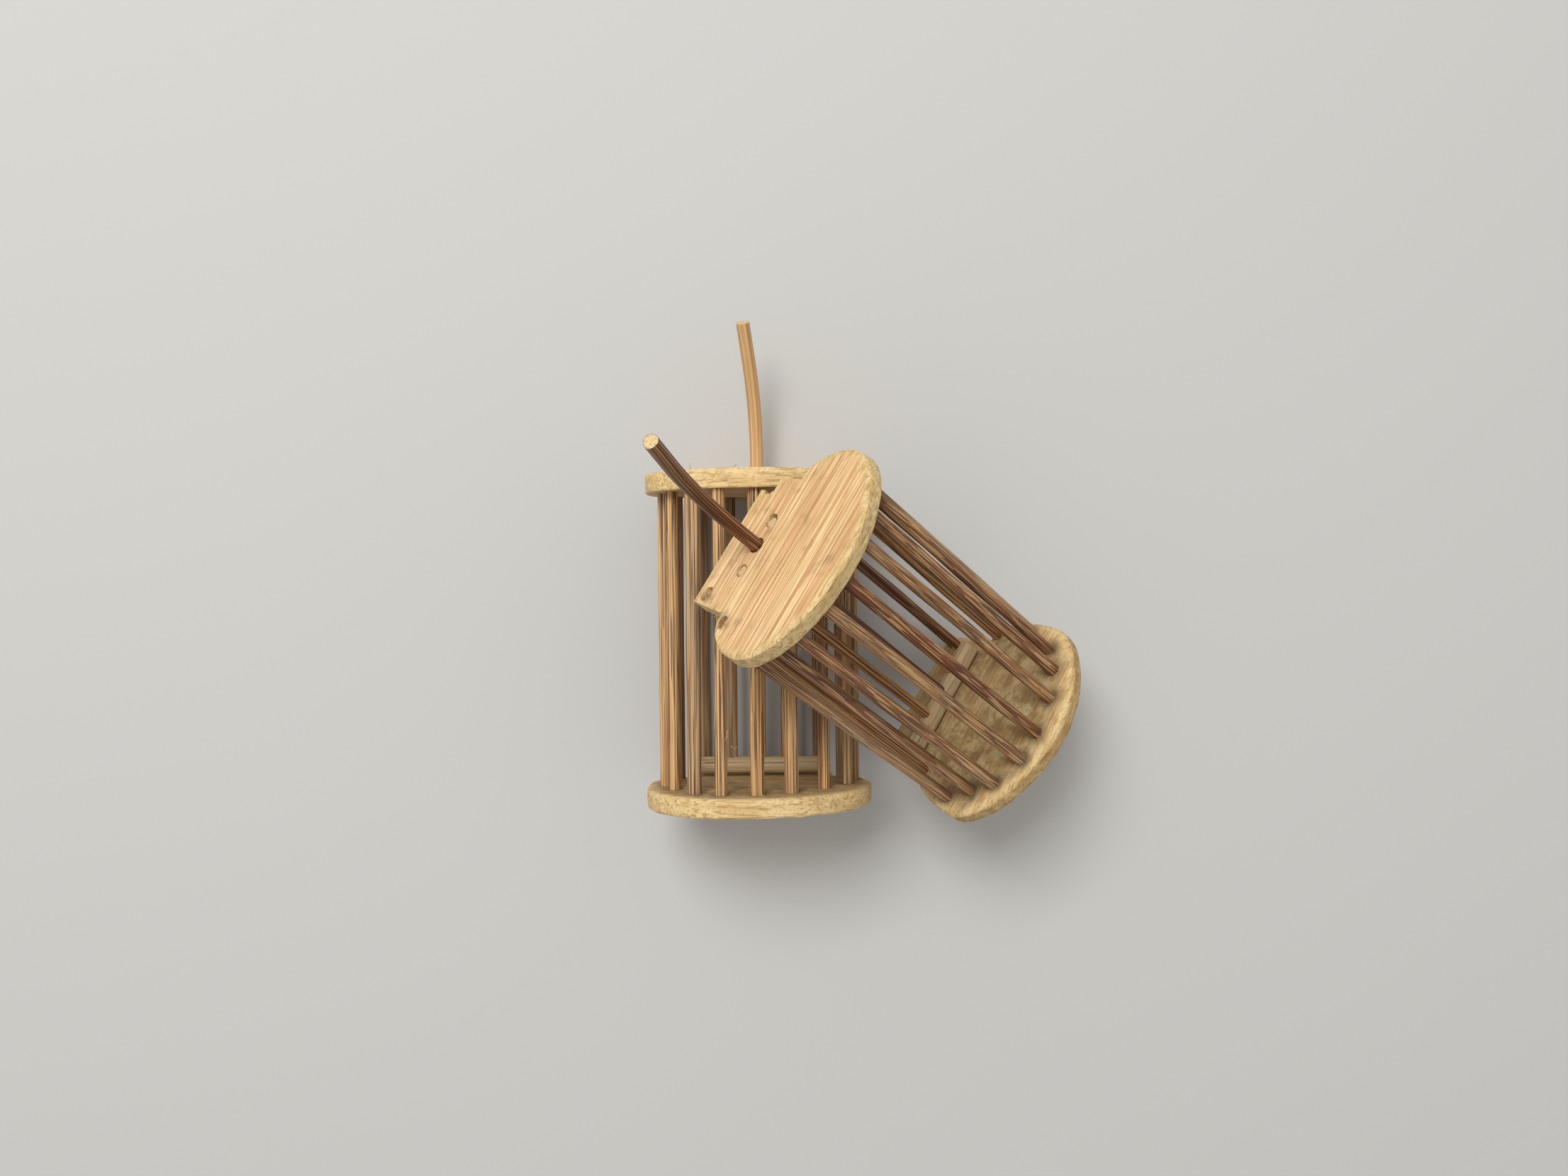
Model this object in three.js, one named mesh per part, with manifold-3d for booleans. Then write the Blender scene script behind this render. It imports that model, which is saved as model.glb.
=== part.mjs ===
// Bamboo cricket cage: two D-shaped half cages with sliding gates, one lying and one leaning on it
import * as THREE from 'three';
import { mergeVertices } from 'three/addons/utils/BufferGeometryUtils.js';
import Module from 'manifold-3d';

const wasm = await Module();
wasm.setup();

// Sizes in millimetres. Each half stands in its own frame: x across the plates, y along the bars from
// the outer face of the bottom plate, z from the flat side's line out to the curved front.
const cage_length = 61.3;
const plate_thickness = 3.5;
const bottom_edge_round = 0.45;
const top_edge_round = 0.7;
const tab_root_half_width = 14.2;
const tab_tip_half_width = 13.5;
const bar_diameter = 2.3;
const socket_depth = 2.3;
const socket_clearance = 0.25;
const flat_bar_place = 15.6;
const flat_bar_set_back = 2;
const tab_bar_place = 11.4;
const tab_bar_reach = 7.6;
const cut_overrun = 1;

// The gate: a rail with three bars that slide in the top plate, the middle one being the handle
const gate_plane = 1.46;
const gate_pitch = 5.28;
const gate_off_centre = 0.25;
const gate_bar_diameter = 2.1;
const gate_clearance = 0.3;
const gate_bar_sunk = 0.15;
const rail_length = 22.9;
const rail_height = 3.4;
const rail_depth = 3.2;
const rail_edge_round = 0.9;
const tenon_diameter = 1.4;
const tenon_length = 2.1;
const handle_diameter = 2.6;

// The broken corner of the leaning half's top plate, measured inwards from the whole tab's corner
const broken_corner_width = 2.6;
const broken_corner_reach = 4;
const broken_stub_length = 4.6;

// Where the leaning half stands, measured from the lying half's frame: the middle of the flat side's
// line on its bottom plate's outer face. Its lowest corner stands on the table, and its bars rise
// until it clears the lying half.
const lean_foot_right = 39.59;
const lean_foot_along = 16.51;
const rest_gap = 0.3;
const lean_heading_degrees = 51.2;
const lean_roll_degrees = 14;
const lean_search_degrees = [15, 60];
const lean_search_steps = 16;
const gap_reach_share = 4;
const leaning_size_share = 0.9545;

// The plates differ a little because they were cut by hand. The front of each starts at the flat
// side's ends and is widest at its own place. It may sit off the tab's middle, be drawn askew, and
// have an inner face that stays behind the outer one.
const lying_bottom = {
  tab_reach: 9.2,
  flat_half_width: 14.6,
  half_width: 21,
  widest_place: 9,
  depth: 26.8,
  squareness_share: 0.91,
  skew_share: -0.1,
  off_centre: 0,
  inner_set_back: 0,
  edge_round: bottom_edge_round,
};
const lying_top = { ...lying_bottom, depth: 24.8, skew_share: 0, edge_round: top_edge_round };
const leaning_bottom = {
  tab_reach: 11.7,
  flat_half_width: 15.8,
  half_width: 21.1,
  widest_place: 13.85,
  depth: 27.45,
  squareness_share: 1.144,
  skew_share: 0.042,
  off_centre: -0.84,
  inner_set_back: 0,
  edge_round: bottom_edge_round,
};
const leaning_top = {
  tab_reach: 10.1,
  flat_half_width: 14.6,
  half_width: 21.5,
  widest_place: 9.4,
  depth: 24.2,
  squareness_share: 1.05,
  skew_share: -0.028,
  off_centre: 0.3,
  inner_set_back: 0.9,
  edge_round: top_edge_round,
};

// Each half: its plates, its handle and its front bars. The bars' places are shares of the bottom
// plate's half width and depth. At the top plate the bars may be drawn in to a share of their depth.
const lying = {
  name: 'lying',
  bottom: lying_bottom,
  top: lying_top,
  front_bar_draw_share: 1,
  handle_straight: 4,
  handle_bend_radius: 37.7,
  handle_bend_degrees: 29,
  handle_turn_degrees: 15,
  handle_tip_length: 7.8,
  curved_bar_shares: [
    [-0.83, 0.38], [-0.74, 0.55], [-0.545, 0.745], [-0.315, 0.82], [-0.01, 0.825],
    [0.28, 0.74], [0.565, 0.555], [0.78, 0.36], [0.85, 0.18],
  ],
};
const leaning = {
  name: 'leaning',
  bottom: leaning_bottom,
  top: leaning_top,
  front_bar_draw_share: 0.9,
  handle_straight: 2,
  handle_bend_radius: 41,
  handle_bend_degrees: 36.5,
  handle_turn_degrees: 5.5,
  handle_tip_length: 9.5,
  curved_bar_shares: [
    [-0.891, 0.397], [-0.758, 0.565], [-0.626, 0.723], [-0.334, 0.831], [-0.069, 0.852],
    [0.275, 0.809], [0.536, 0.721], [0.716, 0.59], [0.856, 0.351],
  ],
};

// Fineness of the meshes
const bar_sides = 12;
const front_steps = 30;
const corner_steps = 6;
const bevel_steps = 2;
const rail_edge_steps = 4;
const handle_steps = 36;

const bar_radius = bar_diameter / 2;
const socket_radius = bar_radius + socket_clearance;
const handle_radius = handle_diameter / 2;
const bar_bottom = plate_thickness - socket_depth + socket_clearance;
const inner_top = cage_length - plate_thickness;
const gate_places = [-gate_pitch, 0, gate_pitch].map((place) => place - gate_off_centre);
const rail_bottom = plate_thickness + gate_clearance;
const rail_top = rail_bottom + rail_height;

function solidOf(geometry) {
  const bare = geometry.clone();
  bare.deleteAttribute('normal');
  bare.deleteAttribute('uv');
  const merged = mergeVertices(bare);
  return new wasm.Manifold(new wasm.Mesh({
    numProp: 3,
    vertProperties: new Float32Array(merged.attributes.position.array),
    triVerts: new Uint32Array(merged.index.array),
  }));
}

function geometryOf(solid) {
  const mesh = solid.getMesh();
  const geometry = new THREE.BufferGeometry();
  geometry.setAttribute('position', new THREE.BufferAttribute(new Float32Array(mesh.vertProperties), 3));
  geometry.setIndex(new THREE.BufferAttribute(new Uint32Array(mesh.triVerts), 1));
  const faceted = geometry.toNonIndexed();
  faceted.computeVertexNormals();
  return faceted;
}

// A round rod along y
function rod(radius, from, to, x, z) {
  const geometry = new THREE.CylinderGeometry(radius, radius, to - from, bar_sides);
  geometry.translate(x, (from + to) / 2, z);
  return geometry;
}

// Front of a plate: a half ellipse, squarer or more pointed, its crown drawn to one side by the skew
function frontPoint(plate, step) {
  const angle = (step / front_steps) * Math.PI;
  const across = Math.sign(Math.cos(angle)) * Math.abs(Math.cos(angle)) ** plate.squareness_share;
  const out = Math.abs(Math.sin(angle)) ** plate.squareness_share;
  const x = plate.half_width * across;
  const z = plate.widest_place + (plate.depth - plate.widest_place) * out;
  return [x + plate.off_centre, z + plate.skew_share * x * (z / plate.depth)];
}

// Corner between the flat side and the front, on the right or on the left
function cornerPoint(plate, step, side) {
  const angle = (step / corner_steps) * (Math.PI / 2);
  const x = plate.flat_half_width + (plate.half_width - plate.flat_half_width) * Math.cos(angle);
  const z = plate.widest_place * (1 - Math.sin(angle));
  return [side * x + plate.off_centre * (z / plate.widest_place), z];
}

// Plate outline with its tab, drawn in x and z
function plateOutline(plate) {
  const outline = new THREE.Shape();
  outline.moveTo(tab_root_half_width, 0);
  for (let step = corner_steps; step >= 1; step -= 1) {
    outline.lineTo(...cornerPoint(plate, step, 1));
  }
  for (let step = 0; step <= front_steps; step += 1) {
    outline.lineTo(...frontPoint(plate, step));
  }
  for (let step = 1; step <= corner_steps; step += 1) {
    outline.lineTo(...cornerPoint(plate, step, -1));
  }
  outline.lineTo(-tab_root_half_width, 0);
  outline.lineTo(-tab_tip_half_width, -plate.tab_reach);
  outline.lineTo(tab_tip_half_width, -plate.tab_reach);
  outline.closePath();
  return outline;
}

// Blank of a plate with whittled edges, lying across y from the given height
function plateBlank(plate, from) {
  const geometry = new THREE.ExtrudeGeometry(plateOutline(plate), {
    depth: plate_thickness - 2 * plate.edge_round,
    steps: 1,
    bevelEnabled: true,
    bevelThickness: plate.edge_round,
    bevelSize: plate.edge_round,
    bevelOffset: -plate.edge_round,
    bevelSegments: bevel_steps,
  });
  geometry.rotateX(Math.PI / 2);
  geometry.translate(0, from + plate_thickness - plate.edge_round, 0);
  const places = geometry.attributes.position;
  for (let point = 0; point < places.count; point += 1) {
    const out_share = Math.max(0, places.getZ(point) / plate.depth);
    const inner_share = 1 - (places.getY(point) - from) / plate_thickness;
    places.setZ(point, places.getZ(point) - plate.inner_set_back * out_share * inner_share);
  }
  return solidOf(geometry);
}

// Front bars' places on the bottom plate
function curvedBarPlaces(half) {
  return half.curved_bar_shares.map(([across_share, out_share]) => [
    across_share * half.bottom.half_width,
    out_share * half.bottom.depth,
  ]);
}

// How far out a front bar is at the top plate
function drawnIn(half, z) {
  return z * half.front_bar_draw_share;
}

// Front bar, from its socket in the bottom plate to its socket in the top plate
function curvedBar(half, x, z) {
  const geometry = rod(bar_radius, bar_bottom, inner_top + socket_depth - socket_clearance, x, z);
  const slope = (drawnIn(half, z) - z) / (inner_top - plate_thickness);
  const places = geometry.attributes.position;
  for (let point = 0; point < places.count; point += 1) {
    places.setZ(point, places.getZ(point) + slope * (places.getY(point) - plate_thickness));
  }
  return geometry;
}

function flatBarPlaces() {
  return [[-flat_bar_place, flat_bar_set_back], [flat_bar_place, flat_bar_set_back]];
}

function tabBarPlaces() {
  return [[-tab_bar_place, -tab_bar_reach], [tab_bar_place, -tab_bar_reach]];
}

// Bottom plate: a blind socket for every fixed bar
function bottomPlate(half) {
  let plate = plateBlank(half.bottom, 0);
  const floor = plate_thickness - socket_depth;
  for (const [x, z] of [...curvedBarPlaces(half), ...flatBarPlaces(), ...tabBarPlaces()]) {
    plate = plate.subtract(solidOf(rod(socket_radius, floor, plate_thickness + cut_overrun, x, z)));
  }
  return geometryOf(plate);
}

// Top plate: blind sockets along the curve, through holes for the flat side's bars and the gate
function topPlate(half) {
  let plate = plateBlank(half.top, inner_top);
  const above = cage_length + cut_overrun;
  const below = inner_top - cut_overrun;
  for (const [x, z] of curvedBarPlaces(half)) {
    const socket = rod(socket_radius, below, inner_top + socket_depth, x, drawnIn(half, z));
    plate = plate.subtract(solidOf(socket));
  }
  for (const [x, z] of [...flatBarPlaces(), ...tabBarPlaces()]) {
    plate = plate.subtract(solidOf(rod(socket_radius, below, above, x, z)));
  }
  gate_places.forEach((x, index) => {
    const radius = (index === 1 ? handle_diameter : gate_bar_diameter) / 2 + gate_clearance;
    plate = plate.subtract(solidOf(rod(radius, below, above, x, -gate_plane)));
  });
  if (half === leaning) {
    const corner = new THREE.BoxGeometry(
      broken_corner_width + cut_overrun,
      plate_thickness + 2 * cut_overrun,
      broken_corner_reach + cut_overrun,
    );
    corner.translate(
      tab_tip_half_width - broken_corner_width + (broken_corner_width + cut_overrun) / 2,
      cage_length - plate_thickness / 2,
      -half.top.tab_reach + broken_corner_reach - (broken_corner_reach + cut_overrun) / 2,
    );
    plate = plate.subtract(solidOf(corner));
  }
  return geometryOf(plate);
}

// Rail: a splint with rounded edges across x, with a socket for each of its three bars
function gateRail() {
  const high = rail_height - 2 * rail_edge_round;
  const deep = rail_depth - 2 * rail_edge_round;
  const section = new THREE.Shape();
  section.absarc(deep / 2, high / 2, rail_edge_round, 0, Math.PI / 2);
  section.absarc(-deep / 2, high / 2, rail_edge_round, Math.PI / 2, Math.PI);
  section.absarc(-deep / 2, -high / 2, rail_edge_round, Math.PI, 3 * Math.PI / 2);
  section.absarc(deep / 2, -high / 2, rail_edge_round, 3 * Math.PI / 2, 2 * Math.PI);
  const geometry = new THREE.ExtrudeGeometry(section, {
    depth: rail_length,
    steps: 1,
    curveSegments: rail_edge_steps,
    bevelEnabled: false,
  });
  geometry.rotateY(Math.PI / 2);
  geometry.translate(-rail_length / 2 - gate_off_centre, (rail_bottom + rail_top) / 2, -gate_plane);
  let rail = solidOf(geometry);
  const floor = rail_top - tenon_length - gate_clearance;
  for (const x of gate_places) {
    const hole = rod(tenon_diameter / 2 + socket_clearance, floor, rail_top + cut_overrun, x, -gate_plane);
    rail = rail.subtract(solidOf(hole));
  }
  return geometryOf(rail);
}

// Tenon under a gate bar, reaching up into the bar that it carries
function tenon(x) {
  const foot = rail_top - tenon_length;
  return solidOf(rod(tenon_diameter / 2, foot, rail_top + 2 * gate_clearance, x, -gate_plane));
}

function gateBar(x) {
  const shaft_foot = rail_top + gate_clearance;
  const shaft_top = cage_length - gate_bar_sunk;
  const bar = rod(gate_bar_diameter / 2, shaft_foot, shaft_top, x, -gate_plane);
  return geometryOf(solidOf(bar).add(tenon(x)));
}

// Handle: the middle gate bar, straight through the top plate and then bent towards the front
function gateHandle(half) {
  const bend = THREE.MathUtils.degToRad(half.handle_bend_degrees);
  const turn = THREE.MathUtils.degToRad(half.handle_turn_degrees);
  const towards = new THREE.Vector3(-Math.sin(turn), 0, Math.cos(turn));
  const bend_start = new THREE.Vector3(gate_places[1], cage_length + half.handle_straight, -gate_plane);
  const along = (angle) => bend_start.clone()
    .addScaledVector(new THREE.Vector3(0, 1, 0), half.handle_bend_radius * Math.sin(angle))
    .addScaledVector(towards, half.handle_bend_radius * (1 - Math.cos(angle)));
  const path = new THREE.CurvePath();
  let last = new THREE.Vector3(gate_places[1], rail_top + gate_clearance, -gate_plane);
  path.add(new THREE.LineCurve3(last, bend_start));
  last = bend_start;
  for (let step = 1; step <= handle_steps; step += 1) {
    const next = along((step / handle_steps) * bend);
    path.add(new THREE.LineCurve3(last, next));
    last = next;
  }
  const heading = new THREE.Vector3(0, Math.cos(bend), 0).addScaledVector(towards, Math.sin(bend));
  path.add(new THREE.LineCurve3(last, last.clone().addScaledVector(heading, half.handle_tip_length)));
  const section = new THREE.Shape();
  section.absarc(0, 0, handle_radius, 0, 2 * Math.PI);
  const geometry = new THREE.ExtrudeGeometry(section, {
    steps: handle_steps,
    curveSegments: bar_sides,
    extrudePath: path,
  });
  return geometryOf(solidOf(geometry).add(tenon(gate_places[1])));
}

// Materials, named for what they are
const plate_bamboo = { color: 0xd2b07c, roughness: 0.72, metalness: 0 };
const bar_bamboo = { color: 0x9a744e, roughness: 0.68, metalness: 0 };
const rail_bamboo = { color: 0xb08d64, roughness: 0.7, metalness: 0 };
const handle_bamboo = { color: 0x8f6238, roughness: 0.5, metalness: 0 };

function addPiece(group, half, name, geometry, finish) {
  const mesh = new THREE.Mesh(geometry, new THREE.MeshStandardMaterial(finish));
  mesh.name = `${half.name}_${name}`;
  group.add(mesh);
}

// One half cage in its own frame
function halfCage(half) {
  const group = new THREE.Group();
  addPiece(group, half, 'bottom_plate', bottomPlate(half), plate_bamboo);
  addPiece(group, half, 'top_plate', topPlate(half), plate_bamboo);
  curvedBarPlaces(half).forEach(([x, z], index) => {
    addPiece(group, half, `curved_bar_${index + 1}`, curvedBar(half, x, z), bar_bamboo);
  });
  flatBarPlaces().forEach(([x, z], index) => {
    addPiece(group, half, `flat_bar_${index + 1}`, rod(bar_radius, bar_bottom, cage_length, x, z), bar_bamboo);
  });
  tabBarPlaces().forEach(([x, z], index) => {
    const broken = half === leaning && index === 0;
    const foot = broken ? cage_length - broken_stub_length : bar_bottom;
    const name = broken ? 'tab_bar_stub' : `tab_bar_${index + 1}`;
    addPiece(group, half, name, rod(bar_radius, foot, cage_length, x, z), bar_bamboo);
  });
  addPiece(group, half, 'gate_rail', gateRail(), rail_bamboo);
  [gate_places[0], gate_places[2]].forEach((x, index) => {
    addPiece(group, half, `gate_bar_${index + 1}`, gateBar(x), bar_bamboo);
  });
  addPiece(group, half, 'gate_handle', gateHandle(half), handle_bamboo);
  return group;
}

// Stand the leaning half on the table with its bars rising at a given elevation
function placeLeaning(group, elevation_degrees) {
  const heading = THREE.MathUtils.degToRad(lean_heading_degrees);
  const elevation = THREE.MathUtils.degToRad(elevation_degrees);
  const roll = THREE.MathUtils.degToRad(lean_roll_degrees);
  const turn = new THREE.Matrix4().makeRotationZ(heading)
    .multiply(new THREE.Matrix4().makeRotationX(elevation))
    .multiply(new THREE.Matrix4().makeRotationY(roll))
    .scale(new THREE.Vector3(leaning_size_share, leaning_size_share, leaning_size_share));
  turn.setPosition(lean_foot_right, lean_foot_along, 0);
  turn.decompose(group.position, group.quaternion, group.scale);
  group.updateMatrixWorld(true);
  const lowest = new THREE.Box3().setFromObject(group, true).min.z;
  group.position.z -= lowest + lying.bottom.tab_reach;
  group.updateMatrixWorld(true);
}

function wholeSolid(group) {
  const solids = [];
  group.traverse((piece) => {
    if (piece.isMesh) {
      solids.push(solidOf(piece.geometry).transform(piece.matrixWorld.elements));
    }
  });
  return wasm.Manifold.compose(solids);
}

// The leaning half comes down until it rests on the lying one
function restLeaning(lying_group, leaning_group) {
  lying_group.updateMatrixWorld(true);
  const support = wholeSolid(lying_group);
  let [low, high] = lean_search_degrees;
  for (let step = 0; step < lean_search_steps; step += 1) {
    const middle = (low + high) / 2;
    placeLeaning(leaning_group, middle);
    if (wholeSolid(leaning_group).minGap(support, gap_reach_share * rest_gap) < rest_gap) {
      low = middle;
    } else {
      high = middle;
    }
  }
  placeLeaning(leaning_group, high);
}

const lying_half = halfCage(lying);
const leaning_half = halfCage(leaning);
restLeaning(lying_half, leaning_half);

const pair = new THREE.Group();
pair.add(lying_half, leaning_half);
const box = new THREE.Box3().setFromObject(pair, true);
pair.position.set(-(box.min.x + box.max.x) / 2, -(box.min.y + box.max.y) / 2, -box.min.z);
pair.updateMatrixWorld(true);

export default pair;
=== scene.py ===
"""Looks of a bamboo cricket cage: two hand-made half cages, one lying on its side, one leaning on it."""

import logging
import math
from dataclasses import dataclass, field, replace
from enum import Enum
from functools import cached_property
from typing import Optional, Sequence, Union

import bmesh
import bpy
import numpy as np
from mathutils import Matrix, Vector
from mathutils.geometry import delaunay_2d_cdt


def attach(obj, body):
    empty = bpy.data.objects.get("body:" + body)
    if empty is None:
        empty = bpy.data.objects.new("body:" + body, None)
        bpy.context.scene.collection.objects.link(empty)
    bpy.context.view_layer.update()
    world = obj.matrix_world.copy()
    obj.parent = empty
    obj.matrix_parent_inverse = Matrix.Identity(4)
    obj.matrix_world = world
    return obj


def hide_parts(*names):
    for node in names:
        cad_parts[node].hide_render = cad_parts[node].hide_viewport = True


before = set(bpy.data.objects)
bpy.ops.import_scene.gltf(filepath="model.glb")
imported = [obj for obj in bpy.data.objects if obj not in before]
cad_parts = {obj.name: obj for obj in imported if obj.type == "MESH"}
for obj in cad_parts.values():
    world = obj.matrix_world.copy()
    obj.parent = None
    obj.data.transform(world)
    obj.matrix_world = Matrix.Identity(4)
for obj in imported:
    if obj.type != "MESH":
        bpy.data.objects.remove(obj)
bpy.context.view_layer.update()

log = logging.getLogger("cricket_cage")

MM = 0.001
FULL_TURN = 2 * math.pi
SEED = 1793

Span = tuple[float, float]
Rgba = tuple[float, float, float, float]
Faces = list[tuple[int, ...]]
Socket = bpy.types.NodeSocket


class Grain(Enum):
    """Which way the fibres of a piece run in its half's own frame."""

    ALONG_BARS = "y"
    ACROSS_PLATE = "x"


class Half(Enum):
    """The two halves, by the name that their nodes start with."""

    LYING = "lying"
    LEANING = "leaning"


class Face(Enum):
    """The side of a plate that a mark lies on."""

    INNER = 0
    OUTER = 1
    BOTH = 2


def dice(*key: int) -> np.random.Generator:
    """Seeded random numbers for one piece.

    Args:
        key: Whole numbers that tell the pieces apart.

    Returns:
        A generator that gives the same numbers on each run.
    """
    return np.random.default_rng([SEED, *key])


def linear(hex_colour: str) -> Rgba:
    """Turns an sRGB hex colour into the linear colour that shaders take.

    Args:
        hex_colour: Six hex digits.

    Returns:
        Linear red, green and blue, and full opacity.
    """
    parts = [int(hex_colour[place:place + 2], 16) / 255 for place in (0, 2, 4)]
    toe, slope, offset, power = 0.04045, 12.92, 0.055, 2.4
    lit = [part / slope if part <= toe else ((part + offset) / (1 + offset)) ** power for part in parts]
    return lit[0], lit[1], lit[2], 1.0


def round_angles(sides: int) -> np.ndarray:
    """Gives evenly spread angles once round, one for each side."""
    return np.linspace(0, FULL_TURN, sides, endpoint=False)


def ripple(draw: np.random.Generator, turns: Span, up: np.ndarray) -> np.ndarray:
    """Makes a wave along a piece.

    Args:
        draw: The piece's random numbers.
        turns: The fewest and the most turns that the wave may have.
        up: The place along the piece, from 0 to 1.

    Returns:
        The wave at each place, from -1 to 1.
    """
    return np.sin(FULL_TURN * (draw.uniform(*turns) * up + draw.uniform()))


def plain(faces: Sequence) -> Faces:
    """Turns faces whose corners are whole numbers of any kind into plain ones."""
    return [tuple(int(corner) for corner in face) for face in faces]


def node_points(name: str) -> np.ndarray:
    """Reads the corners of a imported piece.

    Args:
        name: The node's name.

    Returns:
        Its vertices in metres, one row each.
    """
    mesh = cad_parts[name].data
    places = np.zeros(len(mesh.vertices) * 3)
    mesh.vertices.foreach_get("co", places)
    return places.reshape(-1, 3)


@dataclass(frozen=True)
class HalfFrame:
    """Where one half stands: x across the plates, y along the bars, z out to the curved front."""

    half: Half
    rotation: np.ndarray
    origin: np.ndarray
    scale: float

    def node(self, piece: str) -> str:
        """Gives the name of this half's node for a piece."""
        return f"{self.half.value}_{piece}"

    def own_points(self, piece: str) -> np.ndarray:
        """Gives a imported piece's corners in the half's own millimetres."""
        return (node_points(self.node(piece)) - self.origin) @ self.rotation / (self.scale * MM)

    def box(self, piece: str) -> tuple[np.ndarray, np.ndarray]:
        """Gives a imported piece's lowest and highest corner in the half's own millimetres."""
        local = self.own_points(piece)
        return local.min(axis=0), local.max(axis=0)

    def ends(self, piece: str) -> tuple[np.ndarray, np.ndarray, float]:
        """Finds a packed bar's ends.

        Args:
            piece: The piece's name without the half's.

        Returns:
            The middles of its foot and of its top in the half's millimetres, and its radius.
        """
        local = self.own_points(piece)
        slice_mm = 0.3
        low, high = local[:, 1].min(), local[:, 1].max()
        foot = local[local[:, 1] < low + slice_mm]
        top = local[local[:, 1] > high - slice_mm]
        radius = float(top[:, 0].max() - top[:, 0].min()) / 2
        return (foot.min(axis=0) + foot.max(axis=0)) / 2, (top.min(axis=0) + top.max(axis=0)) / 2, radius

    def placed(self, points: np.ndarray) -> np.ndarray:
        """Moves points from the half's millimetres to the part's frame in metres."""
        return points * self.scale * MM @ self.rotation.T + self.origin


class Halves:
    """Finds both halves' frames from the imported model."""

    flat_bar_set_back_mm = 2.0
    shared_pieces = ("gate_rail", "gate_bar_1", "gate_bar_2", "tab_bar_2", "flat_bar_1", "flat_bar_2")

    def lying(self) -> HalfFrame:
        """The lying half stands square in the part's frame."""
        bars = [node_points(f"lying_flat_bar_{number}").mean(axis=0) for number in (1, 2)]
        middle = (bars[0] + bars[1]) / 2
        foot = node_points("lying_bottom_plate").min(axis=0)
        origin = np.array([middle[0], foot[1], middle[2] - self.flat_bar_set_back_mm * MM])
        return HalfFrame(Half.LYING, np.eye(3), origin, 1.0)

    def leaning(self, lying: HalfFrame) -> HalfFrame:
        """Turns, scales and moves the lying half's pieces onto the same pieces of the leaning one.

        Args:
            lying: The lying half's frame.

        Returns:
            The leaning half's frame.
        """
        source = np.array([node_points(f"lying_{piece}").mean(axis=0) for piece in self.shared_pieces])
        target = np.array([node_points(f"leaning_{piece}").mean(axis=0) for piece in self.shared_pieces])
        source_spread = source - source.mean(axis=0)
        target_spread = target - target.mean(axis=0)
        left, sizes, right = np.linalg.svd(target_spread.T @ source_spread)
        rotation = left @ right
        scale = float(sizes.sum() / (source_spread ** 2).sum())
        origin = target.mean(axis=0) + scale * rotation @ (lying.origin - source.mean(axis=0))
        return HalfFrame(Half.LEANING, rotation, origin, scale)


@dataclass
class PieceMesh:
    """A closed mesh in a half's millimetres, with the values that its material reads at each point."""

    points: np.ndarray
    faces: Faces
    values: dict[str, np.ndarray] = field(default_factory=dict)

    def with_grain(self, grain: Grain) -> "PieceMesh":
        """Stores each point's place in the wood, with the fibres along y, in metres."""
        order = [0, 1, 2] if grain is Grain.ALONG_BARS else [2, 0, 1]
        self.values["grain_place"] = self.points[:, order] * MM
        return self


def set_value(mesh: bpy.types.Mesh, name: str, values: np.ndarray) -> None:
    """Writes one value or vector for each point of a mesh.

    Args:
        mesh: The mesh.
        name: The value's name, which materials read.
        values: One number or three for each point.
    """
    vector = values.ndim == 2
    layer = mesh.attributes.new(name, "FLOAT_VECTOR" if vector else "FLOAT", "POINT")
    layer.data.foreach_set("vector" if vector else "value", values.astype(np.float32).ravel())


def add_object(name: str, data: bpy.types.ID) -> bpy.types.Object:
    """Puts a mesh, a camera or a lamp into the scene under the name given."""
    made = bpy.data.objects.new(name, data)
    bpy.context.scene.collection.objects.link(made)
    return made


def add_piece(name: str, place: HalfFrame, shape: PieceMesh, crease_degrees: float) -> bpy.types.Object:
    """Makes an object from a mesh in a half's millimetres.

    Args:
        name: The object's name.
        place: The half's frame.
        shape: The mesh.
        crease_degrees: Edges sharper than this stay sharp.

    Returns:
        The object, standing in the part's frame.
    """
    mesh = bpy.data.meshes.new(name)
    mesh.from_pydata(place.placed(shape.points).tolist(), [], shape.faces)
    for key, values in shape.values.items():
        set_value(mesh, key, values)
    editor = bmesh.new()
    editor.from_mesh(mesh)
    bmesh.ops.recalc_face_normals(editor, faces=editor.faces)
    editor.to_mesh(mesh)
    editor.free()
    mesh.shade_smooth()
    mesh.set_sharp_from_angle(angle=math.radians(crease_degrees))
    return add_object(name, mesh)


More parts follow.
